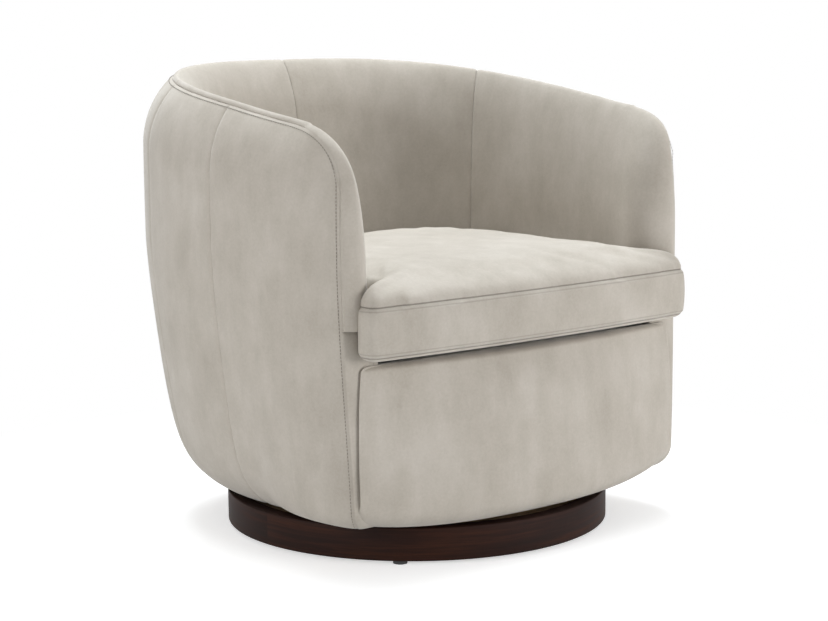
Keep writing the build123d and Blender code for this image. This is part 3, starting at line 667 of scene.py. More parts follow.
@dataclass(frozen=True)
class ShellForm:
    """Outline, side profile and rim of the shell, shared by every cover."""

    half_w: float = 388.0
    back: float = 406.0
    front: float = 450.0
    centre_y: float = 16.0
    power: float = 2.6
    bottom: float = 63.0
    belly: float = 470.0
    tuck_back: float = 0.25
    tuck_front: float = 0.04
    rim_back: float = 735.0
    rim_slope: float = 0.139
    roll_back: float = 62.0
    roll_arm: float = 40.0
    roll_nose: float = 6.0
    roll_fade: float = 112.0
    roll_h: float = 106.0
    side_seam: float = 90.0
    back_seam: float = 60.0
    arm_end: float = 127.4
    front_lean: float = 10.0
    under_roll: float = 37.0
    under_full: float = 116.0
    hem_rise: float = 11.0
    hem_full: float = 124.0
    nose_r: float = 85.0
    nose_power: float = 2.6
    wall_arm: float = 84.0
    wall_rim: float = 100.0
    wall_seat: float = 168.0
    lean_fade: float = 85.0
    pad_low: float = 302.0
    pad_roll: float = 24.0

    def radius(self, angle: Array) -> Array:
        """Superellipse radius from the shell centre, angle in degrees from the back."""
        a = np.radians(angle)
        depth = np.where(np.cos(a) > 0, self.back, self.front)
        side = np.abs(np.sin(a)) / self.half_w
        along = np.abs(np.cos(a)) / depth
        return (side**self.power + along**self.power) ** (-1 / self.power)

    def half_width(self, y: Array) -> Array:
        """Half width of the same superellipse at a place y."""
        depth = np.where(y > self.centre_y, self.back, self.front)
        share = np.clip(np.abs(y - self.centre_y) / depth, 0, 1)
        return self.half_w * (1 - share**self.power) ** (1 / self.power)

    def tuck(self, angle: Array, z: Array) -> Array:
        """Share of the radius left below the belly: 1 - deep * (s^1.4 + s^12) / 2, s^12 fading in front."""
        share = np.clip((self.belly - z) / (self.belly - self.bottom), 0.0, 1.0)
        ease = smooth(np.abs(angle), self.side_seam + 6.0, self.arm_end)
        deep = self.tuck_back + (self.tuck_front - self.tuck_back) * ease
        return 1 - deep * (0.5 * share**1.4 + 0.5 * (1 - ease) * share**12)

    def hem(self, angle: Array) -> Array:
        """Height of the cover's bottom edge, rising a little towards the arm's front."""
        return self.bottom + self.hem_rise * smooth(np.abs(angle), self.side_seam + 5.0, self.hem_full)

    def turned_under(self, angle: Array) -> Array:
        """Radius of the round that turns the cover under the seat board, 0 behind the arms."""
        return self.under_roll * smooth(np.abs(angle), self.side_seam + 2.0, self.under_full)

    def under_inset(self, angle: Array, z: Array) -> Array:
        """How far that round draws the cover in at a height: r - sqrt(r^2 - (r - height over hem)^2)."""
        r = self.turned_under(angle)
        left = np.clip(r - (z - self.hem(angle)), 0.0, r)
        return r - np.sqrt(np.maximum(r**2 - left**2, 0.0))

    def rows(self, tall: float, step: float) -> Array:
        """Heights over the hem for a cover: close together round the turn, then even up to its seam."""
        turn = quarter_turn(self.under_roll, 10)[:-1]
        above = spaced(tall - self.under_roll, step, fine_start=False)
        return np.concatenate([turn, self.under_roll + above])

    def polar(self, angle: Array, r: Array, *z: Array) -> Array:
        """Points at radii from the shell centre, in plan or with their heights."""
        a = np.radians(angle)
        parts = np.broadcast_arrays(r * np.sin(a), self.centre_y + r * np.cos(a), *z)
        return np.stack(parts, axis=-1)

    @property
    def nose_y(self) -> float:
        """Place y of the arm's front edge."""
        return self.centre_y + float(self.radius(self.arm_end)) * math.cos(math.radians(self.arm_end))

    @property
    def nose_start(self) -> float:
        """Place y where the arm's top starts to turn down."""
        return self.nose_y + self.nose_r

    def rim_height(self, y: Array) -> Array:
        """Height of the rim seam: a sloping line with a round corner at the arm's front."""
        line = self.rim_back - self.rim_slope * (self.centre_y + self.back - self.roll_back - y)
        past = np.clip((self.nose_start - y) / self.nose_r, 0.0, 0.995)
        return line - self.nose_r * (1 - (1 - past**self.nose_power) ** (1 / self.nose_power))

    def edge_angle(self, z: Array) -> Array:
        """Angle of the arm's front edge, where the tucked outline meets a nearly upright plane."""
        angle = np.linspace(self.arm_end - 1.0, self.arm_end + 20.0, 2000)
        ahead = -self.radius(angle) * np.cos(np.radians(angle))
        low = 1 - smooth(z, self.bottom, self.belly)
        wanted = self.centre_y - self.nose_y + self.front_lean * low
        return np.interp(wanted / self.tuck(self.arm_end, z), ahead, angle)

    def edge(self, z: Array) -> Array:
        """Points of the arm's front edge at heights below the nose."""
        return self.outer(self.edge_angle(z), z)

    def roll(self, angle: Array) -> Array:
        """How far the shell rolls in at the rim, less and less towards the arm's front."""
        a = np.abs(angle)
        arm = self.roll_back + (self.roll_arm - self.roll_back) * smooth(a, 0, self.side_seam)
        return arm + (self.roll_nose - arm) * smooth(a, self.roll_fade, self.arm_end)

    def rim(self, angle: Array) -> Array:
        """Height of the rim seam at an angle."""
        a = np.abs(np.asarray(angle, float))
        inset = np.where(a > self.side_seam, 0.0, self.roll(a))
        a = np.minimum(a, self.arm_end)
        return self.rim_height(self.centre_y + (self.radius(a) - inset) * np.cos(np.radians(a)))

    def outer(self, angle: Array, z: Array) -> Array:
        """Point of the outer cover: the tucked radius, less the arcs under the rim and at the hem."""
        roll = self.roll(angle)
        bend = (roll**2 + self.roll_h**2) / (2 * roll)
        over = np.clip(z - self.rim(angle) + self.roll_h, 0.0, self.roll_h)
        r = self.radius(angle) * self.tuck(angle, z) - bend + np.sqrt(bend**2 - over**2)
        return self.polar(angle, r - self.under_inset(angle, z), z)

    def seam(self, angle: Array) -> Array:
        """Point of the rim seam at an angle."""
        return self.outer(angle, self.rim(angle))

    def lean_share(self, angle: Array) -> Array:
        """1 at the back, where the inner face leans, and 0 along the arms."""
        return (1 + np.cos(np.pi * np.minimum(np.abs(angle), self.lean_fade) / self.lean_fade)) / 2

    def inner_radius(self, angle: Array, z: Array) -> Array:
        """Radius of the inner face: straight from the rim wall down to the thicker seat wall."""
        share = self.lean_share(angle)
        rim_wall = self.wall_arm + (self.wall_rim - self.wall_arm) * share
        seat_wall = self.wall_arm + (self.wall_seat - self.wall_arm) * share
        top = self.rim(angle) - self.pad_roll
        down = (top - z) / (top - self.pad_low)
        return self.radius(angle) - rim_wall - (seat_wall - rim_wall) * down

    def inner_outline(self, gap: float, z: float) -> Array:
        """Right half of the seat opening at a height, from the arm's front to the back centre."""
        y = np.linspace(self.nose_y + 6.0, self.centre_y, 40)[:-1]
        arm = np.stack([self.half_width(y) - self.wall_arm - gap, y], axis=-1)
        angle = np.linspace(self.side_seam, 0.0, 70)
        return np.concatenate([arm, self.polar(angle, self.inner_radius(angle, z) - gap)])


@dataclass
class OuterCovers:
    """Outer back, sides and arms, each drawn in at the seams that join it to its neighbours."""

    form: ShellForm
    finish: bpy.types.Material
    step: float = 11.0
    calm: float = 40.0
    padding: float = 10.0

    def panel(self, name: str, start: float, end: float) -> None:
        """Build one cover between two upright seams.

        The grid is the outer surface over angle and height, moved in along its normal by the seam
        dip of the nearest edge and out by the slow ripple of the cloth.

        Args:
            name: Frame node that the cover stands for.
            start: Angle of its first seam in degrees.
            end: Angle of its last seam.
        """
        form = self.form
        table = np.linspace(start, end, 3000)
        length = lengths(form.seam(table))
        reach = float(length[-1])
        along = spaced(reach, self.step)
        angle = np.interp(along, length, table)
        rim = form.rim(angle)
        hem = form.hem(angle)
        up = form.rows(float(rim.max()) - form.bottom, self.step)
        share = up / up[-1]
        z = hem + share[:, None] * (rim - hem)[None, :]
        lean = np.sign(end) * (form.edge_angle(np.minimum(z, form.belly)) - form.arm_end)
        at_end = abs(end) == form.arm_end
        angle_grid = angle[None, :] + (along / reach)[None, :] ** 2 * lean * at_end
        points = form.outer(angle_grid, z)
        away = seam_distance(points, (points[-1], points[:, 0], points[:, -1]))
        outward = self.outward(points)
        drawn = smooth(away, 0.0, self.calm) * ripple(points) - seam_dip(away)
        points = points + drawn[..., None] * outward
        work = Patchwork()
        work.wall(points, points - self.padding * outward, flip=end > start)
        piece = work.object(f"{name}_velvet", self.finish, solid=True)
        settle(piece, Body.SEAT, [name])

    def outward(self, points: Array) -> Array:
        """Outward normals of a grid of upright columns, from the slope of the radius up each column."""
        x, y, z = np.moveaxis(points - (0.0, self.form.centre_y, 0.0), -1, 0)
        r = np.hypot(x, y)
        slope = np.gradient(r, axis=0) / np.maximum(np.gradient(z, axis=0), 0.05)
        return unit(np.stack([x / r, y / r, -np.clip(slope, -2.5, 2.5)], axis=-1))

    def build(self) -> None:
        """Build the five covers."""
        form = self.form
        self.panel("outer_back", -form.back_seam, form.back_seam)
        for side in Side:
            sign = side.value
            self.panel(f"outer_side_{side.word}", sign * form.back_seam, sign * form.side_seam)
            self.panel(f"outer_arm_{side.word}", sign * form.side_seam, sign * form.arm_end)


@dataclass
class InnerPads:
    """Inner back halves and inner arms, which wrap over the rim to the rim seam.

    A section starts at the rim seam, rolls over a crest and reaches its full thickness some way
    below it. Along the arm's nose the sections fan out round one point, the pole, and down the
    front of the arm they lie level.
    """

    form: ShellForm
    finish: bpy.types.Material
    crest_back: float = 9.0
    crest_arm: float = 11.0
    crest_front: float = 15.0
    reach_back: float = 80.0
    reach_arm: float = 200.0
    reach_front: float = 58.0
    facing_top: float = 371.0
    foot: float = 323.0
    padding: float = 10.0
    calm: float = 40.0
    ripple_share: float = 0.8
    row_step: float = 11.0
    column_step: float = 9.0
    column_radius: float = 300.0
    nose_from: float = 116.0
    blend_from: float = 20.0
    crest_full: float = 80.0
    reach_full: float = 85.0
    rim_dip: float = 2.0
    bend_rows: int = 40
    low_rows: int = 24
    fan_columns: int = 34

    def crest(self, angle: Array) -> Array:
        """Height of the crest over the seam, by the angle of the section."""
        a = np.abs(angle)
        share = smooth(a, self.blend_from, self.crest_full)
        arm = self.crest_back + (self.crest_arm - self.crest_back) * share
        return arm + (self.crest_front - arm) * smooth(a, self.nose_from, self.form.arm_end)

    def depths(self) -> Array:
        """Shares of the way from the seam to the pole: 1 - cos of a turn, close together at the seam."""
        near = np.array([0.0, 0.012, 0.026, 0.042, 0.06, 0.082, 0.108])
        turn = np.concatenate([near, np.linspace(0.138, np.pi / 2, self.bend_rows - len(near))])
        return 1 - np.cos(turn)

    @staticmethod
    def rounded(depth: Array, reach: Any) -> Array:
        """Share of the full thickness at a depth below the edge, a quarter ellipse."""
        return np.sqrt(1 - (1 - np.clip(depth / reach, 0.0, 1.0)) ** 2)

    @staticmethod
    def swelling(share: Array) -> Array:
        """Share of the crest: a quick sine up to 3/10 of the thickness, then a slow fall to 0."""
        rise = np.sin(np.pi / 2 * np.clip(share / 0.3, 0.0, 1.0))
        return rise * (1 - np.clip((share - 0.3) / 0.7, 0.0, 1.0) ** 1.5)

    def levels(self, seam_z: Array, pole_z: float) -> tuple[Array, Array]:
        """Rows of upright sections.

        Args:
            seam_z: Height of the seam for each column.
            pole_z: Height of the pole.

        Returns:
            Heights by row and column, and the share of the crest that each row keeps.
        """
        depth = self.depths()
        bend = seam_z[None, :] - depth[:, None] * (seam_z - pole_z)[None, :]
        low = self.low_levels(pole_z)
        keep = np.concatenate([1 - depth**2, 0 * low])
        return np.concatenate([bend, low[:, None] + 0 * seam_z[None, :]]), keep[:, None]

    def low_levels(self, pole_z: float) -> Array:
        """Heights of the rows under the pole: down to the facing seam, then to the seat."""
        to_seam = pole_z - spaced(pole_z - self.facing_top, self.row_step, fine_start=False)
        upper = np.interp(np.linspace(0, 1, self.low_rows), np.linspace(0, 1, len(to_seam)), to_seam)
        return np.concatenate([upper[1:], [self.foot]])

    def radial(self, angle: Array, pole_z: float) -> Array:
        """Sections of the back and the first part of the arm, in planes through the shell centre.

        Args:
            angle: Angle of each section in degrees.
            pole_z: Height of the row that meets the pole of the fan.

        Returns:
            Grid of points.
        """
        form = self.form
        seam_r = (form.radius(angle) - form.roll(angle))[None, :]
        seam_z = form.rim(angle)
        z, keep = self.levels(seam_z, pole_z)
        turned = smooth(angle, self.blend_from, self.reach_full)
        reach = self.reach_back + (self.reach_arm - self.reach_back) * turned
        share = self.rounded(seam_z[None, :] - z, reach[None, :])
        r = seam_r - (seam_r - form.inner_radius(angle[None, :], z)) * share
        return form.polar(angle, r, z + self.crest(angle)[None, :] * self.swelling(share) * keep)

    def level_arm(self, angle: Array, pole_z: float) -> Array:
        """Sections of the straight arm, in planes across the chair.

        Args:
            angle: Angle of each seam point in degrees.
            pole_z: Height of the pole's row.

        Returns:
            Grid of points.
        """
        form = self.form
        seam = form.seam(angle)
        z, keep = self.levels(seam[:, 2], pole_z)
        share = self.rounded(seam[None, :, 2] - z, self.reach_arm)
        x_in = (form.half_width(seam[:, 1]) - form.wall_arm)[None, :]
        x = seam[None, :, 0] - (seam[None, :, 0] - x_in) * share
        z = z + self.crest(angle)[None, :] * self.swelling(share) * keep
        return np.stack([x, seam[None, :, 1] + 0 * x, z], axis=-1)

    def fanned(self, seam: Array, centre: Array, crest: Array) -> Array:
        """Sections from seam points towards their own centres in the upright plane along the arm.

        Args:
            seam: Seam points, the first of the fan being the arm's last.
            centre: Place y and height of each section's centre.
            crest: Height of the crest for each section.

        Returns:
            Grid of points whose last row lies at the centres.
        """
        form = self.form
        depth = self.depths()[:, None]
        away = seam[:, 1:] - centre
        ahead = unit(away)[None]
        y = seam[None, :, 1] - depth * away[None, :, 0]
        z = seam[None, :, 2] - depth * away[None, :, 1]
        below = self.rounded(self.seam_height(y) - z, self.reach_arm)
        share = below * self.rounded(y - self.seam_front(z), self.reach_front)
        start = form.half_width(form.nose_start) - form.roll(self.nose_angle())
        edge_x = seam[None, :, 0] + (start - seam[None, :, 0]) * depth
        x = edge_x - (edge_x - form.half_width(y) + form.wall_arm) * share
        lift = crest[None, :] * self.swelling(share) * (1 - depth**2)
        return np.stack([x, y + lift * ahead[..., 0], z + lift * ahead[..., 1]], axis=-1)

    def arm_seam(self, start: float) -> tuple[Array, Array]:
        """Fine table of the arm's rim seam, angles and points, from a start angle to the arm's front."""
        angle = np.linspace(start, self.form.arm_end, 4000)
        return angle, self.form.seam(angle)

    def seam_height(self, y: Array) -> Array:
        """Height of the arm's rim seam at a place y."""
        _, seam = self.arm_seam(self.form.side_seam)
        return np.interp(-y, -seam[:, 1], seam[:, 2])

    def seam_front(self, z: Array) -> Array:
        """Place y of the seam at a height, round the nose or down the arm's front edge."""
        seam = self.arm_seam(self.form.side_seam)[1][::-1]
        edge = self.form.edge(np.minimum(z, seam[0, 2]))[..., 1]
        return np.where(z > seam[0, 2], np.interp(z, seam[:, 2], seam[:, 1]), edge)

    def nose_angle(self) -> float:
        """Angle at which the seam passes the start of the arm's nose, by a fine table."""
        angle, seam = self.arm_seam(self.form.side_seam)
        return float(np.interp(-self.form.nose_start, -seam[:, 1], angle))

    def nose_columns(self, start: float) -> Array:
        """Angles of the fan's sections, at even steps of length along the seam round the nose."""
        table, seam = self.arm_seam(start)
        length = lengths(seam)
        return np.interp(np.linspace(0, length[-1], self.fan_columns), length, table)

    def sew(self, points: Array, ends: tuple[bool, bool]) -> Array:
        """Draw the rim edge and the sewn ends of a grid in.

        Args:
            points: Grid of points, the rim seam in its first row.
            ends: Whether the first and the last column are sewn.

        Returns:
            The grid with its seams.
        """
        from_rim = lengths(points)
        along = lengths(points.swapaxes(0, 1)).T
        sewn = [run for run, is_sewn in zip((along, along[:, -1:] - along), ends) if is_sewn]
        dip = np.maximum.reduce([seam_dip(from_rim, self.rim_dip), *map(seam_dip, sewn)])
        near = np.minimum.reduce([from_rim, *sewn])
        fade = smooth(near, 0.0, self.calm) * self.ripple_share
        return points - (fade * ripple(points) - dip)[..., None] * grid_normals(points)

    def angles(self, start: float, end: float, ends: tuple[bool, bool]) -> Array:
        """Angles of sections between two seams, closer at the sewn ends."""
        reach = self.column_radius * math.radians(end - start)
        return start + (end - start) * spaced(reach, self.column_step, *ends) / reach

    def place(self, grids: Sequence[Array], side: Side, name: str) -> None:
        """Make a pad from its grids on one side of the chair."""
        work = Patchwork()
        for points in grids:
            work.grid(points * (side.value, 1, 1), flip=side is Side.LEFT)
        piece = work.object(f"{name}_velvet", self.finish)
        thicken(piece, self.padding)
        settle(piece, Body.SEAT, [name])

    def build(self) -> None:
        """Build the halves of the back and the two arms."""
        form = self.form
        pole_z = float(form.rim(form.arm_end))
        back = self.sew(self.radial(self.angles(0.0, form.back_seam, (True, True)), pole_z), (True, True))
        first = self.radial(self.angles(form.back_seam, form.side_seam, (True, False)), pole_z)
        turn_in = self.nose_angle()
        arm = self.level_arm(np.linspace(form.side_seam, turn_in, 22)[1:], pole_z)
        whole = self.sew(np.concatenate([first, arm], axis=1), (True, False))
        nose = self.nose_columns(turn_in)
        seam = form.seam(nose)
        pole = np.array([[form.nose_start, pole_z]])
        fan = self.fanned(seam, pole + 0 * seam[:, 1:], self.crest(nose))
        z = np.concatenate([[pole_z], self.low_levels(pole_z)[:-1]])
        edge = form.edge(z)
        centre = np.stack([form.nose_start + 0 * z, z], axis=-1)
        front = self.fanned(edge, centre, self.crest_front + 0 * z)
        turned = self.sew(np.concatenate([fan, front[:, 1:]], axis=1), (False, True))
        last = self.bend_rows
        fan, front = turned[:, : self.fan_columns], turned[:, self.fan_columns - 1 :]
        fan[:, 0] = whole[:last, -1]
        fan[-1] = whole[last - 1, -1]
        front[-1] = whole[last - 1 : -1, -1]
        for side in Side:
            self.place([back], side, f"inner_back_{side.word}")
            self.place([whole, fan, front], side, f"inner_arm_{side.word}")


@dataclass
class ArmFacings:
    """Narrow padded strip on the front of each arm, under the short seam and beside the apron."""

    form: ShellForm
    finish: bpy.types.Material
    top: float = 371.0
    rail_top: float = 301.0
    width: float = 60.0
    swell: float = 1.5
    edge_dip: float = 2.0
    step: float = 11.0
    column_step: float = 6.0
    under_pad: float = 12.0
    pad_gap: float = 1.5
    pad_lap: float = 4.0
    padding: float = 10.0

    def build(self) -> None:
        """Build both strips: across from the arm's edge, swelling by w * (1 - w), and up the edge."""
        form = self.form
        hem = float(form.hem(form.arm_end))
        z = hem + form.rows(self.top - hem, self.step)
        edge = form.edge(z)
        across = spaced(self.width, self.column_step, fine_end=False)
        share = across / self.width
        x = edge[None, :, 0] - across[:, None]
        y = edge[None, :, 1] - (4 * self.swell * share * (1 - share))[:, None] + 0 * x
        sewn = np.maximum(seam_dip(across, self.edge_dip)[:, None], seam_dip(self.top - z)[None, :])
        points = np.stack([x, y + sewn, z[None, :] + 0 * x], axis=-1)
        inside = self.inside(points[-1])
        for side in Side:
            work = Patchwork()
            work.grid(points * (side.value, 1, 1), flip=side is Side.RIGHT)
            work.grid(inside * (side.value, 1, 1), flip=side is Side.RIGHT)
            name = f"arm_facing_{side.word}"
            piece = work.object(f"{name}_velvet", self.finish)
            thicken(piece, self.padding)
            settle(piece, Body.SEAT, [name])

    def inside(self, inner_edge: Array) -> Array:
        """Cover from the strip's inner edge back along the arm, between the seat rail and the pad."""
        form = self.form
        z = np.linspace(self.rail_top, self.top + self.under_pad, 9)
        start = np.stack([np.interp(z, inner_edge[:, 2], inner_edge[:, i]) for i in (0, 1)], axis=-1)
        arm = form.half_width(form.nose_start) - form.wall_arm
        back = np.array([arm + self.pad_gap, form.nose_start + self.pad_lap])
        share = np.linspace(0.0, 1.0, 12)[:, None, None]
        return at_heights(start[None] + share * (back - start[None]), z)


@dataclass
class Apron:
    """Padded front apron with a bowed face, rounded ends and a bottom edge that turns under.

    Levels give the height over the shell's bottom edge, the half width, the front's distance from
    the swivel axis and the bow.
    """

    form: ShellForm
    finish: bpy.types.Material
    levels: tuple[tuple[float, float, float, float], ...] = (
        (0.0, 326.0, 312.0, 47.0),
        (47.0, 327.5, 313.0, 48.0),
        (137.0, 327.0, 309.0, 45.0),
        (217.0, 322.5, 301.0, 40.0),
        (246.0, 319.0, 293.0, 35.0),
    )
    corner: float = 8.0
    undercut: float = 2.0
    top_round: float = 14.0
    top_rise: float = 0.6
    under_roll: float = 30.0
    end_rise: float = 14.0
    rise_half: float = 300.0
    rise_fade: float = 130.0
    back_gap: float = 3.5

    def outline(self, half: float, front: float, bow: float, back: float) -> Array:
        """Closed outline at one level: parabola of the bow, Bezier corners, ends cut in, straight back."""
        inner = half - self.corner
        x = np.linspace(0, inner, 60)
        y = -front + bow * (x / inner) ** 2
        slope = 2 * bow / inner
        end = -front + bow
        t = np.linspace(0, 1, 16)[1:]
        knee = end + slope * self.corner
        side = min(max(knee + 2.0, end + self.corner), back - 1.0)
        knee = min(knee, side - 1.0)
        corner_x = (1 - t) ** 2 * inner + 2 * t * (1 - t) * half + t * t * half
        corner_y = (1 - t) ** 2 * end + 2 * t * (1 - t) * knee + t * t * side
        right_x = np.concatenate([x, corner_x, [half - self.undercut]])
        right_y = np.concatenate([y, corner_y, [back]])
        x_all = np.concatenate([-right_x[:0:-1], right_x])
        y_all = np.concatenate([right_y[:0:-1], right_y])
        return np.stack([x_all, y_all], axis=-1)

    def build(self) -> None:
        """Stack the outlines up the smooth level curves, round both edges and close both faces.

        The bottom edge is drawn in by r - sqrt(r^2 - (r - height)^2) and rises with the fourth
        power of x towards the ends.
        """
        form = self.form
        table = np.array(self.levels)
        under = quarter_turn(self.under_roll, 10)
        up = np.concatenate([under, np.linspace(self.under_roll, table[-1, 0], 34)[1:]])
        half, front, bow = (spline(table[:, 0], table[:, i], up) for i in (1, 2, 3))
        left = np.clip(self.under_roll - up, 0.0, None)
        low = self.under_roll - np.sqrt(self.under_roll**2 - left**2)
        turn = np.linspace(0, np.pi / 2, 7)[1:]
        drawn = np.concatenate([low, quarter_turn(self.top_round, 7)[1:]])
        height = np.concatenate([up, up[-1] + self.top_round * self.top_rise * np.sin(turn)])
        half, front, bow = (np.concatenate([v, np.full(len(turn), v[-1])]) for v in (half, front, bow))
        z = form.bottom + height
        back = form.edge(np.maximum(z, float(form.hem(form.arm_end))))[:, 1] - self.back_gap
        flat = np.stack([self.outline(*level) for level in zip(half - drawn, front - drawn, bow, back)])
        fade = 1 - smooth(height, 0.0, self.rise_fade)[:, None]
        rise = self.end_rise * (flat[..., 0] / self.rise_half) ** 4 * fade
        work = Patchwork()
        work.stack(at_heights(flat, z[:, None] + rise))
        piece = work.object("front_apron_velvet", self.finish, solid=True)
        settle(piece, Body.SEAT, ["front_apron"])


@dataclass
class SeatCushion:
    """Loose boxed cushion: a crowned top, a boxing between two seams and ears before the arms."""

    form: ShellForm
    finish: bpy.types.Material
    low_seam: float = 334.0
    top_seam: float = 407.0
    under: float = 323.0
    crown: float = 447.0
    front: float = 309.4
    bow: float = 14.0
    ear_x: float = 328.0
    ear_gap: float = 5.0
    ear_round: float = 16.0
    wall_gap: float = 5.0
    neck_start: float = 14.0
    ear_taper: float = 1.1
    open_from: float = 130.0
    beside_dip: float = 0.6
    beside_width: float = 7.0
    flat_band: float = 1.5
    fullness: float = 0.006
    outline_step: float = 6.0
    voxel: float = 6.0
    held_width: float = 7.0
    free_from: float = 14.0
    top_dip: float = 2.6
    low_dip: float = 2.2
    dip_width: float = 3.4
    side_reach: float = 18.0
    side_fade: float = 8.0
    stretch: float = 25.0
    bend: float = 3.0
    swell_cap: float = 9.0
    pressure: float = 4.0
    frames: int = 20

    def outline(self) -> Array:
        """Closed outline from the front centre round the right ear and the back, in even steps."""
        walls = self.form.inner_outline(self.wall_gap, self.top_seam)
        walls = walls[walls[:, 1] > self.form.nose_y + self.neck_start]
        ear_back = self.form.nose_y - self.ear_gap
        ear_front = self.bow - self.front
        x = np.linspace(0, self.ear_x - self.ear_round, 60)
        lead = -self.front + self.bow * (x / self.ear_x) ** 2
        r = self.ear_round
        corner = arc(self.ear_x - r, ear_front + r, r, -np.pi / 2, 9)
        tail = 0.5 * (ear_back - ear_front - r)
        heel = arc(self.ear_x - tail, ear_back - tail, tail, 0.0, 7)
        right = np.concatenate([np.stack([x, lead], axis=-1), corner, heel, walls])
        whole = np.concatenate([right, right[-2:0:-1] * (-1, 1), right[:1]])
        return resampled(whole, self.outline_step)[:-1]

    def block(self) -> bpy.types.Object:
        """First shape: the boxing between the two seams, a little full at its middle, with flat ends."""
        up = np.linspace(0.0, 1.0, 5)
        z = self.low_seam + (self.top_seam - self.low_seam) * up
        flat = self.outline()[None] * (1 + self.fullness * np.sin(np.pi * up))[:, None, None]
        work = Patchwork()
        work.stack(at_heights(flat, z[:, None]))
        return work.object("seat_cushion", self.finish, solid=True)

    @staticmethod
    def bell(away: Array, width: float) -> Array:
        """Bell curve exp(-(away / width)^2)."""
        return np.exp(-((away / width) ** 2))

    @staticmethod
    def fill(d: Array) -> Array:
        """Share of the full height at a distance d from the edge."""
        return 0.62 * (1 - np.exp(-d / 10.0)) + 0.38 * (1 - np.exp(-d / 50.0))

    def dome(self, piece: bpy.types.Object) -> None:
        """Raise the crown and round the underside by the distance d from the outline.

        The share of the full height is 0.62 (1 - exp(-d / 10)) + 0.38 (1 - exp(-d / 50)). Before the
        arms the crown's d is taken from the front and from the ears' tips alone, so that the ears
        run on from the body and taper, and only a narrow edge is drawn down beside the arms.
        """
        points = read_points(piece)
        x, y, z = np.abs(points[:, 0]) / MM, points[:, 1] / MM, points[:, 2] / MM
        d = self.edge_distance(points)
        ahead = y + self.front - self.bow * (x / self.ear_x) ** 2
        open_d = np.maximum(np.minimum(ahead, self.ear_taper * (self.ear_x - x)), 0.0)
        mixed = d + smooth(-y, self.open_from, self.ear_gap - self.form.nose_y) * (open_d - d)
        beside = np.clip(1 - d / np.maximum(mixed, 0.1), 0.0, 1.0)
        held = 1 - self.beside_dip * np.exp(-d / self.beside_width) * beside
        raised = self.top_seam + held * self.fill(mixed) * (self.crown - self.top_seam)
        sunk = self.low_seam + self.fill(d) * (self.under - self.low_seam)
        over, below = z > self.top_seam - self.flat_band, z < self.low_seam + self.flat_band
        z = np.where(over, raised, np.where(below, sunk, z))
        points[:, 2] = z * MM
        write_points(piece, points)

    def remesh(self, piece: bpy.types.Object) -> None:
        """Give the block an even mesh of small quads."""
        change = piece.modifiers.new("even", "REMESH")
        change.mode = "VOXEL"
        change.voxel_size = self.voxel * MM
        change.use_smooth_shade = True
        apply_modifiers(piece)

    def swell(self, piece: bpy.types.Object) -> None:
        """Blow the cover up with cloth simulation, its seams held, and cap how far it moves."""
        start = read_points(piece)
        z = start[:, 2] / MM
        hold = self.bell(z - self.top_seam, self.held_width) + self.bell(z - self.low_seam, self.held_width)
        hold = np.where(z < self.low_seam, 1.0, hold)
        edge = self.edge_distance(start)
        hold = np.where((z > self.top_seam - 1) & (edge > self.free_from), 0.0, hold)
        group = piece.vertex_groups.new(name="held")
        for level in np.linspace(0.1, 1.0, 10):
            chosen = np.nonzero(np.abs(np.clip(hold, 0, 1) - level) <= 0.05)[0]
            group.add(chosen.tolist(), float(level), "REPLACE")
        cloth = piece.modifiers.new("stuffing", "CLOTH")
        cloth.settings.vertex_group_mass = "held"
        cloth.settings.use_pressure = True
        cloth.settings.uniform_pressure_force = self.pressure
        cloth.settings.effector_weights.gravity = 0.0
        cloth.settings.tension_stiffness = self.stretch
        cloth.settings.compression_stiffness = self.stretch
        cloth.settings.bending_stiffness = self.bend
        cloth.point_cache.frame_start = 1
        cloth.point_cache.frame_end = self.frames
        scene = bpy.context.scene
        for number in range(1, self.frames + 1):
            scene.frame_set(number)
        apply_modifiers(piece)
        moved = read_points(piece) - start
        far = np.linalg.norm(moved, axis=-1, keepdims=True)
        limit = self.swell_cap * MM
        capped = moved * (limit * np.tanh(far / limit) / np.maximum(far, 1e-9))
        write_points(piece, start + capped)
        scene.frame_set(1)
        piece.vertex_groups.clear()

    def edge_distance(self, points: Array) -> Array:
        """Level distance in millimetres from points in metres to the cushion's outline."""
        ring = self.outline()
        step = np.roll(ring, -1, axis=0) - ring
        best = []
        for part in np.array_split(points[:, :2] / MM, 60):
            gap = part[:, None, :] - ring[None, :, :]
            share = np.clip((gap * step).sum(-1) / (step**2).sum(-1), 0.0, 1.0)
            best.append(np.linalg.norm(gap - share[..., None] * step, axis=-1).min(1))
        return np.concatenate(best)

    def sew(self, piece: bpy.types.Object) -> None:
        """Draw the two seams in along the normal, each by a bell curve of the height over it."""
        points = read_points(piece)
        normal = np.zeros(len(points) * 3)
        piece.data.vertices.foreach_get("normal", normal)
        normal = normal.reshape(-1, 3)
        z = points[:, 2] / MM
        side = smooth(self.side_reach - self.edge_distance(points), 0.0, self.side_fade)
        top = self.top_dip * self.bell(z - self.top_seam, self.dip_width)
        low = self.low_dip * self.bell(z - self.low_seam, self.dip_width)
        write_points(piece, points - normal * ((top + low) * side * MM)[:, None])

    def build(self) -> None:
        """Build, stuff and sew the cushion."""
        piece = self.block()
        self.remesh(piece)
        self.dome(piece)
        self.swell(piece)
        fine = piece.modifiers.new("fine", "SUBSURF")
        fine.levels = fine.render_levels = 1
        apply_modifiers(piece)
        self.sew(piece)
        piece.data.polygons.foreach_set("use_smooth", np.ones(len(piece.data.polygons), bool))
        settle(piece, Body.CUSHION, ["cushion_cover", "cushion_core"])


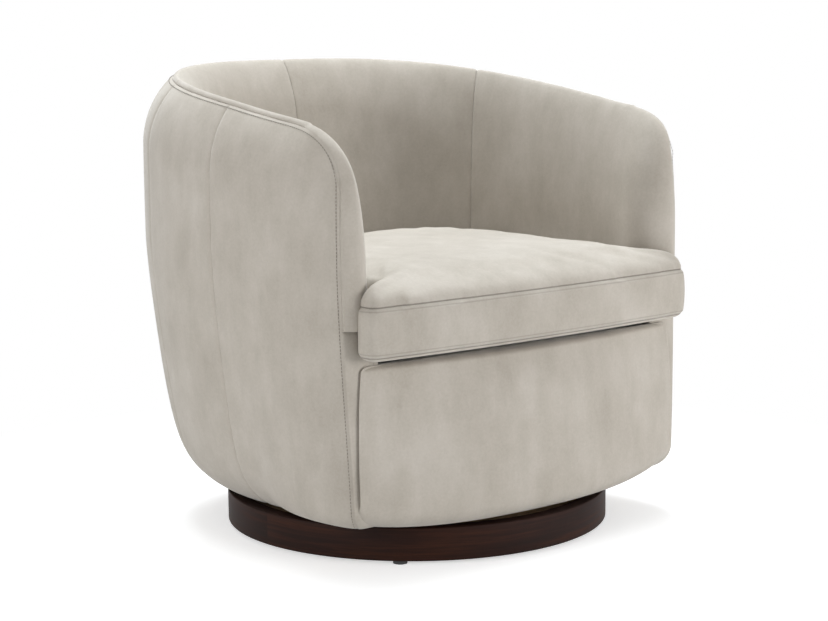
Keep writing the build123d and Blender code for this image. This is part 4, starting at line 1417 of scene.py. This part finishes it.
def read_points(piece: bpy.types.Object) -> Array:
    """Vertex places of a mesh object in metres."""
    flat = np.zeros(len(piece.data.vertices) * 3)
    piece.data.vertices.foreach_get("co", flat)
    return flat.reshape(-1, 3)


def write_points(piece: bpy.types.Object, points: Array) -> None:
    """Set the vertex places of a mesh object in metres."""
    piece.data.vertices.foreach_set("co", points.ravel())
    piece.data.update()


def apply_modifiers(piece: bpy.types.Object) -> None:
    """Replace a piece's mesh by what its modifiers make of it."""
    depsgraph = bpy.context.evaluated_depsgraph_get()
    made = bpy.data.meshes.new_from_object(piece.evaluated_get(depsgraph))
    piece.modifiers.clear()
    old = piece.data
    piece.data = made
    bpy.data.meshes.remove(old)


@dataclass
class Plinth:
    """Round wooden plinth: a rounded rectangular section turned about the swivel axis."""

    finish: bpy.types.Material
    radius: float = 310.0
    wall: float = 24.0
    low: float = 5.0
    height: float = 52.0
    edge: float = 2.2
    turns: int = 240

    def section(self) -> Array:
        """Closed section as radius and height, with quarter circles at its four corners."""
        inner, outer = self.radius - self.wall, self.radius
        low, top, e = self.low, self.low + self.height, self.edge
        centres = ((outer - e, low + e), (outer - e, top - e), (inner + e, top - e), (inner + e, low + e))
        starts = np.array([-0.5, 0.0, 0.5, 1.0]) * np.pi
        return np.concatenate([arc(*centre, e, start, 6) for centre, start in zip(centres, starts)])

    def build(self) -> None:
        """Turn the section and map it in metres round the ring and along the section."""
        r, z = self.section().T
        around = np.linspace(0, 2 * np.pi, self.turns + 1)[:-1, None]
        ring = np.stack([r * np.cos(around), r * np.sin(around), z + 0 * around], axis=-1)
        work = Patchwork()
        work.grid(ring, closed=True)
        work.grid(np.stack([ring[-1], ring[0]]), closed=True)
        piece = work.object("plinth_hoop", self.finish, solid=True)
        self.map_grain(piece)
        settle(piece, Body.BASE, ["plinth_ring"])

    def map_grain(self, piece: bpy.types.Object) -> None:
        """Map each face corner by its arc length round the ring and by its height and radius."""
        mesh = piece.data
        corners = np.zeros(len(mesh.loops), int)
        mesh.loops.foreach_get("vertex_index", corners)
        co = read_points(piece)[corners]
        angle = np.arctan2(co[:, 1], co[:, 0])
        first = np.zeros(len(mesh.polygons), int)
        count = np.zeros(len(mesh.polygons), int)
        mesh.polygons.foreach_get("loop_start", first)
        mesh.polygons.foreach_get("loop_total", count)
        lead = np.repeat(angle[first], count)
        angle = lead + (angle - lead + np.pi) % (2 * np.pi) - np.pi
        across = co[:, 2] - np.hypot(co[:, 0], co[:, 1])
        uv = np.stack([angle * self.radius * MM, across], axis=-1)
        layer = mesh.uv_layers.new(name="grain")
        layer.data.foreach_set("uv", uv.ravel())


@dataclass
class Deck:
    """Cloth-covered deck under the cushion, slightly crowned."""

    form: ShellForm
    finish: bpy.types.Material
    low: float = 306.3
    top: float = 321.4
    gap: float = 3.0
    front: float = -219.0

    def build(self) -> None:
        """Stack the seat opening's outline, drawn in over a rounded edge, and close both faces."""
        walls = self.form.inner_outline(self.gap, self.form.pad_low)
        walls = walls[walls[:, 1] > self.front]
        ring = np.concatenate([walls, walls[-2::-1] * (-1, 1)])
        share = np.array([0.985, 0.995, 0.997, 0.985, 0.96])[:, None, None]
        z = np.array([self.low, self.low + 4.0, self.top - 6.0, self.top - 1.5, self.top])[:, None]
        work = Patchwork()
        work.stack(at_heights(ring[None] * share, z))
        piece = work.object("deck_cover", self.finish, solid=True)
        settle(piece, Body.SEAT, ["deck_pad"])


@dataclass
class SeatBoard:
    """Plywood seat board whose lower edge is bevelled where the covers turn under it."""

    form: ShellForm
    finish: bpy.types.Material
    low: float = 64.0
    top: float = 82.0
    inset: float = 17.0
    front: float = -200.0
    bore: float = 15.0
    bevel: float = 0.9
    edge_round: float = 0.8
    lip: float = 3.0
    tuck_front: float = 0.09
    columns: int = 240

    def top_reach(self, turn: Array) -> Array:
        """Radius of the upper outline: the shell's tucked edge less the inset, cut off straight in front."""
        form = self.form
        edge = np.minimum(np.abs(turn), form.arm_end)
        ease = smooth(edge, form.side_seam, form.arm_end)
        deep = form.tuck_back + (self.tuck_front - form.tuck_back) * ease
        reach = form.radius(edge) * (1 - deep) - self.inset
        ahead = -np.cos(np.radians(turn))
        limit = np.where(ahead > 0.05, (form.centre_y - self.front) / np.maximum(ahead, 0.05), 1e9)
        return np.minimum(reach, limit)

    def low_reach(self, turn: Array) -> Array:
        """Radius of the lower outline, drawn in by the round of the covers."""
        edge = np.minimum(np.abs(turn), self.form.arm_end)
        return self.top_reach(turn) - self.form.turned_under(edge) * self.bevel

    def build(self) -> None:
        """Stack rings from the bore out over the top, down the bevelled edge and back to the bore."""
        turn = np.linspace(-180.0, 180.0, self.columns + 1)[:-1]
        a = np.radians(turn)
        wide, narrow = self.top_reach(turn), self.low_reach(turn)
        edge = (
            (wide - self.edge_round, self.top),
            (wide, self.top - self.edge_round),
            (wide, self.top - self.lip),
            (narrow, self.low + self.edge_round),
            (narrow - self.edge_round, self.low),
        )
        rim = np.stack([at_heights(self.form.polar(turn, reach), z) for reach, z in edge])
        bore = self.bore * np.stack([np.sin(a), np.cos(a)], axis=-1)
        low, top = at_heights(bore, self.low)[None], at_heights(bore, self.top)[None]
        work = Patchwork()
        work.grid(np.concatenate([low, top, rim, low]), closed=True)
        piece = work.object("seat_board_panel", self.finish, solid=True)
        settle(piece, Body.SEAT, ["seat_board"])


@dataclass
class DustCover:
    """Black cloth stapled under the seat board, cut out round the swivel bearing."""

    form: ShellForm
    board: SeatBoard
    finish: bpy.types.Material
    level: float = 63.6
    inset: float = 1.5
    cut: float = 98.0
    corner_power: float = 12.0
    rows: int = 14
    columns: int = 180

    def build(self) -> None:
        """Stretch a flat grid between the cut-out, a squarish superellipse, and the board's edge."""
        turn = np.linspace(-180.0, 180.0, self.columns + 1)[:-1]
        a = np.radians(turn)
        outer = self.board.low_reach(turn) - self.inset
        way = np.stack([np.sin(a), np.cos(a)], axis=-1)
        power = self.corner_power
        hole = self.cut * way * ((np.abs(way) ** power).sum(-1, keepdims=True)) ** (-1 / power)
        share = np.linspace(0, 1, self.rows)[:, None, None]
        flat = hole + share * (self.form.polar(turn, outer) - hole)
        work = Patchwork()
        work.grid(at_heights(flat, self.level), closed=True, flip=True)
        piece = work.object("dust_cloth", self.finish)
        settle(piece, Body.SEAT, ["dust_cover"])


@dataclass
class RimStitching:
    """Row of stitches on the outer cover beside the rim seam and the arm's front seam."""

    form: ShellForm
    finish: bpy.types.Material
    away: float = 6.0
    pitch: float = 5.2
    length: float = 3.9
    thick: float = 0.55
    foot_gap: float = 6.0
    sides: int = 6

    def line(self) -> tuple[Array, Array]:
        """Right half of the stitch line from the back centre to the bottom of the arm's front.

        Returns:
            Points of the line and the outward normals there.
        """
        form = self.form
        angle = np.linspace(0.0, form.arm_end, 3000)
        step = 0.05
        rim = form.rim(angle)
        after, before = (form.seam(angle + s) for s in (step, -step))
        seam = form.outer(angle, rim)
        along, down = unit(after - before), unit(form.outer(angle, rim - 1.0) - seam)
        normal = unit(np.cross(down, along))
        away = np.cross(along, normal)
        away *= np.sign(np.sum(away * down, axis=-1, keepdims=True))
        top = seam + self.away * away
        z = np.linspace(float(rim[-1]), float(form.hem(form.arm_end)) + self.foot_gap, 1200)
        back_step = math.degrees(self.away / float(form.radius(form.arm_end)))
        edge_angle = form.edge_angle(np.minimum(z, form.belly)) - back_step
        edge = form.outer(edge_angle, z)
        out = np.stack([np.sin(np.radians(edge_angle)), np.cos(np.radians(edge_angle)), 0 * z], axis=-1)
        keep = top[:, 1] > edge[0, 1]
        keep &= np.cumprod(keep).astype(bool)
        normal *= np.sign(np.sum(normal * (seam - (0, form.centre_y, 0)), axis=-1, keepdims=True))
        level = edge[:, 2] < top[keep][-1, 2]
        return np.concatenate([top[keep], edge[level]]), np.concatenate([normal[keep], out[level]])

    def build(self) -> None:
        """Lay a six-sided stitch, thickest in its middle, at each pitch along the line."""
        points, normals = self.line()
        length = lengths(points)
        at = np.arange(self.pitch / 2, length[-1], self.pitch)

        def sample(where: Array, table: Array) -> Array:
            """Values of a table along the line."""
            return np.stack([np.interp(where, length, table[:, i]) for i in range(3)], axis=-1)

        middle, normal = sample(at, points), unit(sample(at, normals))
        along = unit(sample(at + 1.0, points) - sample(at - 1.0, points))
        across = np.cross(along, normal)
        turn = np.linspace(0, 2 * np.pi, self.sides + 1)[:-1]
        reach = np.array([-0.5, -0.36, 0.0, 0.36, 0.5]) * self.length
        girth = np.array([0.35, 0.85, 1.0, 0.85, 0.35]) * self.thick
        sink = np.array([-0.5, 0.0, 0.25, 0.0, -0.5])
        lift = (sink[:, None] + girth[:, None] * np.cos(turn)[None, :])[..., None]
        wide = (girth[:, None] * np.sin(turn)[None, :])[..., None]
        far = (reach[:, None] + 0 * turn[None, :])[..., None]
        for side in Side:
            work = Patchwork()
            for m, n, t, c in zip(middle, normal, along, across):
                work.stack((m + far * t + lift * n + wide * c) * (side.value, 1, 1))
            piece = work.object(f"rim_stitching_{side.word}", self.finish, solid=True)
            settle(piece, Body.SEAT, [])


@dataclass
class InnerWorks:
    """Frame, bearing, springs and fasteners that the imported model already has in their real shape."""

    plywood: bpy.types.Material
    steel: bpy.types.Material
    plastic: bpy.types.Material

    def dress(self) -> None:
        """Give every carried-over node the finish of its material slot."""
        finishes = {"plywood": self.plywood, "steel": self.steel, "black_plastic": self.plastic}
        slots = {row["node"]: row["material_slot"] for row in frame["record"]["subparts"]}
        for name, node in frame["nodes"].items():
            finish = finishes.get(slots[name])
            if finish is not None:
                node.data.materials.clear()
                node.data.materials.append(finish)
                LOG.info("%s dressed as %s", name, finish.name)


@dataclass
class Studio:
    """White floor and world, three soft lamps and the camera of the photograph."""

    azimuth: float = 40.0
    pitch: float = 8.495
    roll: float = -0.504
    distance: float = 3300.0
    aim_z: float = 340.0
    focal_px: float = 2027.27
    frame_px: float = 828.0
    shift_px: float = 1.3
    sensor: float = 36.0
    ambient: float = 0.29
    floor_lift: float = 0.55
    floor_near: float = 0.3
    floor_far: float = 1.05

    def camera(self) -> None:
        """Stand the camera back from its aim along the view and turn it by its small roll."""
        a, p, r = (math.radians(v) for v in (self.azimuth, self.pitch, self.roll))
        right = Vector((math.cos(a), -math.sin(a), 0.0))
        ahead = Vector((math.sin(a) * math.cos(p), math.cos(a) * math.cos(p), -math.sin(p)))
        up = right.cross(ahead)
        turned = right * math.cos(r) + up * math.sin(r)
        upright = up * math.cos(r) - right * math.sin(r)
        place = Vector((0.0, 0.0, self.aim_z)) - ahead * self.distance
        data = bpy.data.cameras.new("camera")
        data.sensor_width = self.sensor
        data.lens = self.sensor * self.focal_px / self.frame_px
        data.shift_x = -self.shift_px / self.frame_px
        data.clip_end = 100.0
        camera = bpy.data.objects.new("camera", data)
        axes = Matrix((turned, upright, -ahead)).transposed()
        camera.matrix_world = Matrix.Translation(place * MM) @ axes.to_4x4()
        bpy.context.scene.collection.objects.link(camera)
        bpy.context.scene.camera = camera

    def lamp(
        self,
        name: str,
        place: Sequence[float],
        aim: Sequence[float],
        size: float,
        power: float,
        colour: Sequence[float] = (1.0, 1.0, 1.0),
    ) -> None:
        """Add one square soft lamp.

        Args:
            name: Name of the lamp.
            place: Where it stands, in metres.
            aim: Where it points, in metres.
            size: Its width in metres.
            power: Its power in watts.
            colour: Colour of its light.
        """
        data = bpy.data.lights.new(name, "AREA")
        data.shape = "SQUARE"
        data.size = size
        data.energy = power
        data.color = colour
        lamp = bpy.data.objects.new(name, data)
        lamp.location = place
        lamp.rotation_euler = (Vector(aim) - Vector(place)).to_track_quat("-Z", "Y").to_euler()
        bpy.context.scene.collection.objects.link(lamp)

    def world(self) -> None:
        """Even light from all round, white where the camera or a reflection sees it."""
        tree = ShaderTree("studio", "worlds")
        strength = self.ambient + (1 - self.ambient) * tree.seen()
        light = tree.node("ShaderNodeBackground", {}, {"Color": (1.0, 1.0, 1.0, 1.0), "Strength": strength})
        bpy.context.scene.world = tree.close(light, "ShaderNodeOutputWorld")

    def floor(self) -> None:
        """Wide round floor, seen as white apart from the chair's soft shadow, and plain white far out."""
        tree = ShaderTree("white_floor")
        seen = tree.seen()
        where = tree.node("ShaderNodeTexCoord", {}, {}, "Object")
        away = tree.node("ShaderNodeVectorMath", {"operation": "LENGTH"}, {0: where}, "Value")
        far = ((away - self.floor_near) / (self.floor_far - self.floor_near)).clamp()
        matt = tree.node("ShaderNodeBsdfDiffuse", {}, {"Color": (0.86, 0.86, 0.86, 1.0)})
        lift = tree.node("ShaderNodeEmission", {}, {"Strength": seen * self.floor_lift})
        near = tree.node("ShaderNodeAddShader", {}, {0: matt, 1: lift})
        white = tree.node("ShaderNodeEmission", {}, {"Strength": 1.0})
        finish = tree.close(tree.node("ShaderNodeMixShader", {}, {0: far * seen, 1: near, 2: white}))
        turn = np.linspace(0, 2 * np.pi, 97)[:-1]
        reach = np.array([0.0, 400.0, 900.0, 2500.0, 9000.0])[:, None]
        points = np.stack([reach * np.cos(turn), reach * np.sin(turn), 0 * reach * turn], axis=-1)
        work = Patchwork()
        work.grid(points, closed=True)
        work.object("floor", finish)

    def build(self) -> None:
        """Build the studio."""
        self.camera()
        self.world()
        self.floor()
        cool = (0.9, 0.96, 1.0)
        self.lamp("top_lamp", (0.25, 0.55, 3.0), (0.0, 0.0, 0.4), 1.8, 112.0, cool)
        self.lamp("left_lamp", (-3.0, -0.3, 0.7), (0.0, 0.0, 0.35), 1.6, 33.0)
        self.lamp("front_lamp", (1.6, -3.0, 0.5), (0.0, 0.0, 0.25), 1.6, 69.0)
        bpy.context.scene.view_settings.view_transform = "Standard"


def main() -> None:
    """Build the chair's pieces in order, then the studio."""
    logging.basicConfig(level=logging.INFO, format="%(message)s")
    form = ShellForm()
    velvet = Velvet().material()
    # seam heights in metres, each with the strength of its painted seam shade and dent
    cushion_seams = ((0.407, 1.0), (0.4015, 0.4), (0.334, 0.9), (0.3395, 0.4))
    # velvet with painted shade along the cushion's seams
    seam_shaded_velvet = Velvet("seam_shaded_greige_velvet", seams=cushion_seams).material()
    plywood = Plywood().material()
    InnerWorks(plywood, ZINC_STEEL.material(), BLACK_PLASTIC.material()).dress()
    Plinth(StainedWood().material()).build()
    board = SeatBoard(form, plywood)
    board.build()
    dust = WovenCloth("black_dust_cloth", (0.004, 0.004, 0.004), (0.012, 0.012, 0.012)).material()
    DustCover(form, board, dust).build()
    Deck(form, WovenCloth("grey_deck_cloth", (0.20, 0.185, 0.165), (0.30, 0.28, 0.25)).material()).build()
    OuterCovers(form, velvet).build()
    InnerPads(form, velvet).build()
    ArmFacings(form, velvet).build()
    Apron(form, velvet).build()
    SeatCushion(form, seam_shaded_velvet).build()
    RimStitching(form, TAUPE_THREAD.material()).build()
    Studio().build()


if __name__ == "__main__":
    main()
